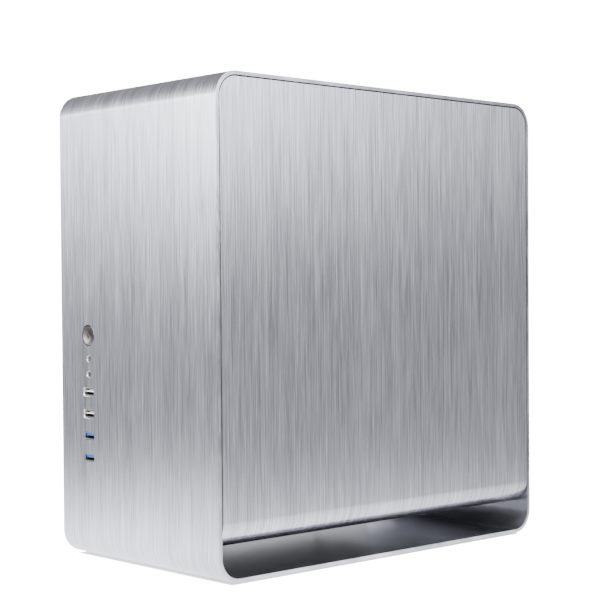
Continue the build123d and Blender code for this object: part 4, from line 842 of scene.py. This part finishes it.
# What lights the case from below is a pool of light around it that fades with distance
off_middle = add_node(floor_tree, "ShaderNodeVectorMath", {0: floor_place.outputs["Object"],
                                                           1: (0.12, 0.12, 0)}, operation="ADD")
distance = add_node(floor_tree, "ShaderNodeVectorMath", {0: off_middle.outputs[0]}, operation="LENGTH")
reach = spread(floor_tree, distance.outputs["Value"], 0.0, 1.0, 0.0, POOL_REACH)
pool = add_node(floor_tree, "ShaderNodeValToRGB", {"Fac": reach})
spread_levels(pool.color_ramp, [(far / POOL_REACH, level) for far, level in POOL])
pool_light = add_node(floor_tree, "ShaderNodeEmission", {"Color": pool.outputs[0], "Strength": PEAK})
floor_path = add_node(floor_tree, "ShaderNodeLightPath")
floor_mix = add_node(floor_tree, "ShaderNodeMixShader", {0: floor_path.outputs["Is Camera Ray"],
                                                         1: pool_light.outputs[0], 2: seen_floor.outputs[0]})
add_node(floor_tree, "ShaderNodeOutputMaterial", {"Surface": floor_mix.outputs[0]})
floor.data.materials.append(floor_material)

world = bpy.data.worlds.new("studio")
bpy.context.scene.world = world
world.use_nodes = True
tree = world.node_tree
tree.nodes.clear()
direction = add_node(tree, "ShaderNodeTexCoord")
height = add_node(tree, "ShaderNodeSeparateXYZ", {"Vector": direction.outputs["Generated"]})
sky = add_node(tree, "ShaderNodeValToRGB", {"Fac": spread(tree, height.outputs["Z"], 0.0, 1.0, -1.0, 1.0)})
spread_levels(sky.color_ramp, [((math.sin(math.radians(angle)) + 1) / 2, level) for angle, level in ROOM])
towards = add_node(tree, "ShaderNodeVectorMath", {0: direction.outputs["Generated"], 1: (-0.707, -0.707, 0)},
                   operation="DOT_PRODUCT")
side_level = spread(tree, towards.outputs["Value"], 0.6, 1.28, -1.0, 1.0)
# Above eye level the light leans: it grows towards the front on the right and towards the right on the front
lean = add_node(tree, "ShaderNodeVectorMath", {0: direction.outputs["Generated"], 1: (0.707, -0.707, 0)},
                operation="DOT_PRODUCT")
front_lean = spread(tree, towards.outputs["Value"], 0.0, 0.14)
whole_lean = maths(tree, "ADD", lean.outputs["Value"], front_lean)
near_lean = spread(tree, whole_lean, -1.6, 1.6, -0.2, 0.2)
rise = spread(tree, height.outputs["Z"], 0.0, 0.85, 0.0, 0.09)
lean_level = maths(tree, "EXPONENT", maths(tree, "MULTIPLY", near_lean, rise))
level = maths(tree, "MULTIPLY", maths(tree, "MULTIPLY", side_level, lean_level), PEAK)
light_path = add_node(tree, "ShaderNodeLightPath")
room = add_node(tree, "ShaderNodeBackground", {"Color": sky.outputs[0], "Strength": level})
backdrop = add_node(tree, "ShaderNodeBackground", {"Color": (1, 1, 1, 1), "Strength": BACKDROP_GLOW})
both = add_node(tree, "ShaderNodeMixShader", {0: light_path.outputs["Is Camera Ray"], 1: room.outputs[0],
                                              2: backdrop.outputs[0]})
add_node(tree, "ShaderNodeOutputWorld", {"Surface": both.outputs[0]})


def soft_light(name, place, target, size, power):
    """A square studio light that faces a point."""
    lamp = bpy.data.lights.new(name, "AREA")
    lamp.energy = power
    lamp.size = size
    holder = bpy.data.objects.new(name, lamp)
    bpy.context.scene.collection.objects.link(holder)
    holder.location = place
    holder.rotation_euler = (Vector(target) - Vector(place)).to_track_quat("-Z", "Y").to_euler()
    return holder


soft_light("overhead_softbox", (0.6, -0.8, 2.4), (0, 0, 0.2), 2.0, 40)
soft_light("corner_softbox", (1.9, -1.6, 0.9), (0, 0, 0.15), 0.9, 25)

# The camera stands off the right front corner, level with the lower middle of the case
CAMERA_PLACE = Vector((970.8, -906.8, 224.55)) * MM
YAW, PITCH, ROLL = (math.radians(angle) for angle in (-47.249, -1.337, -0.423))
forward = Vector((math.sin(YAW) * math.cos(PITCH), math.cos(YAW) * math.cos(PITCH), math.sin(PITCH)))
level_right = forward.cross(Vector((0, 0, 1))).normalized()
level_up = level_right.cross(forward)
camera_right = level_right * math.cos(ROLL) + level_up * math.sin(ROLL)
camera_up = level_up * math.cos(ROLL) - level_right * math.sin(ROLL)
camera_data = bpy.data.cameras.new("camera")
camera_data.sensor_width = 36.0
camera_data.lens = 91.0
camera_data.shift_x = 0.0062
camera_data.shift_y = 0.0376
camera = bpy.data.objects.new("camera", camera_data)
bpy.context.scene.collection.objects.link(camera)
bpy.context.scene.camera = camera
turn = Matrix((camera_right, camera_up, -forward)).transposed().to_4x4()
camera.matrix_world = Matrix.Translation(CAMERA_PLACE) @ turn
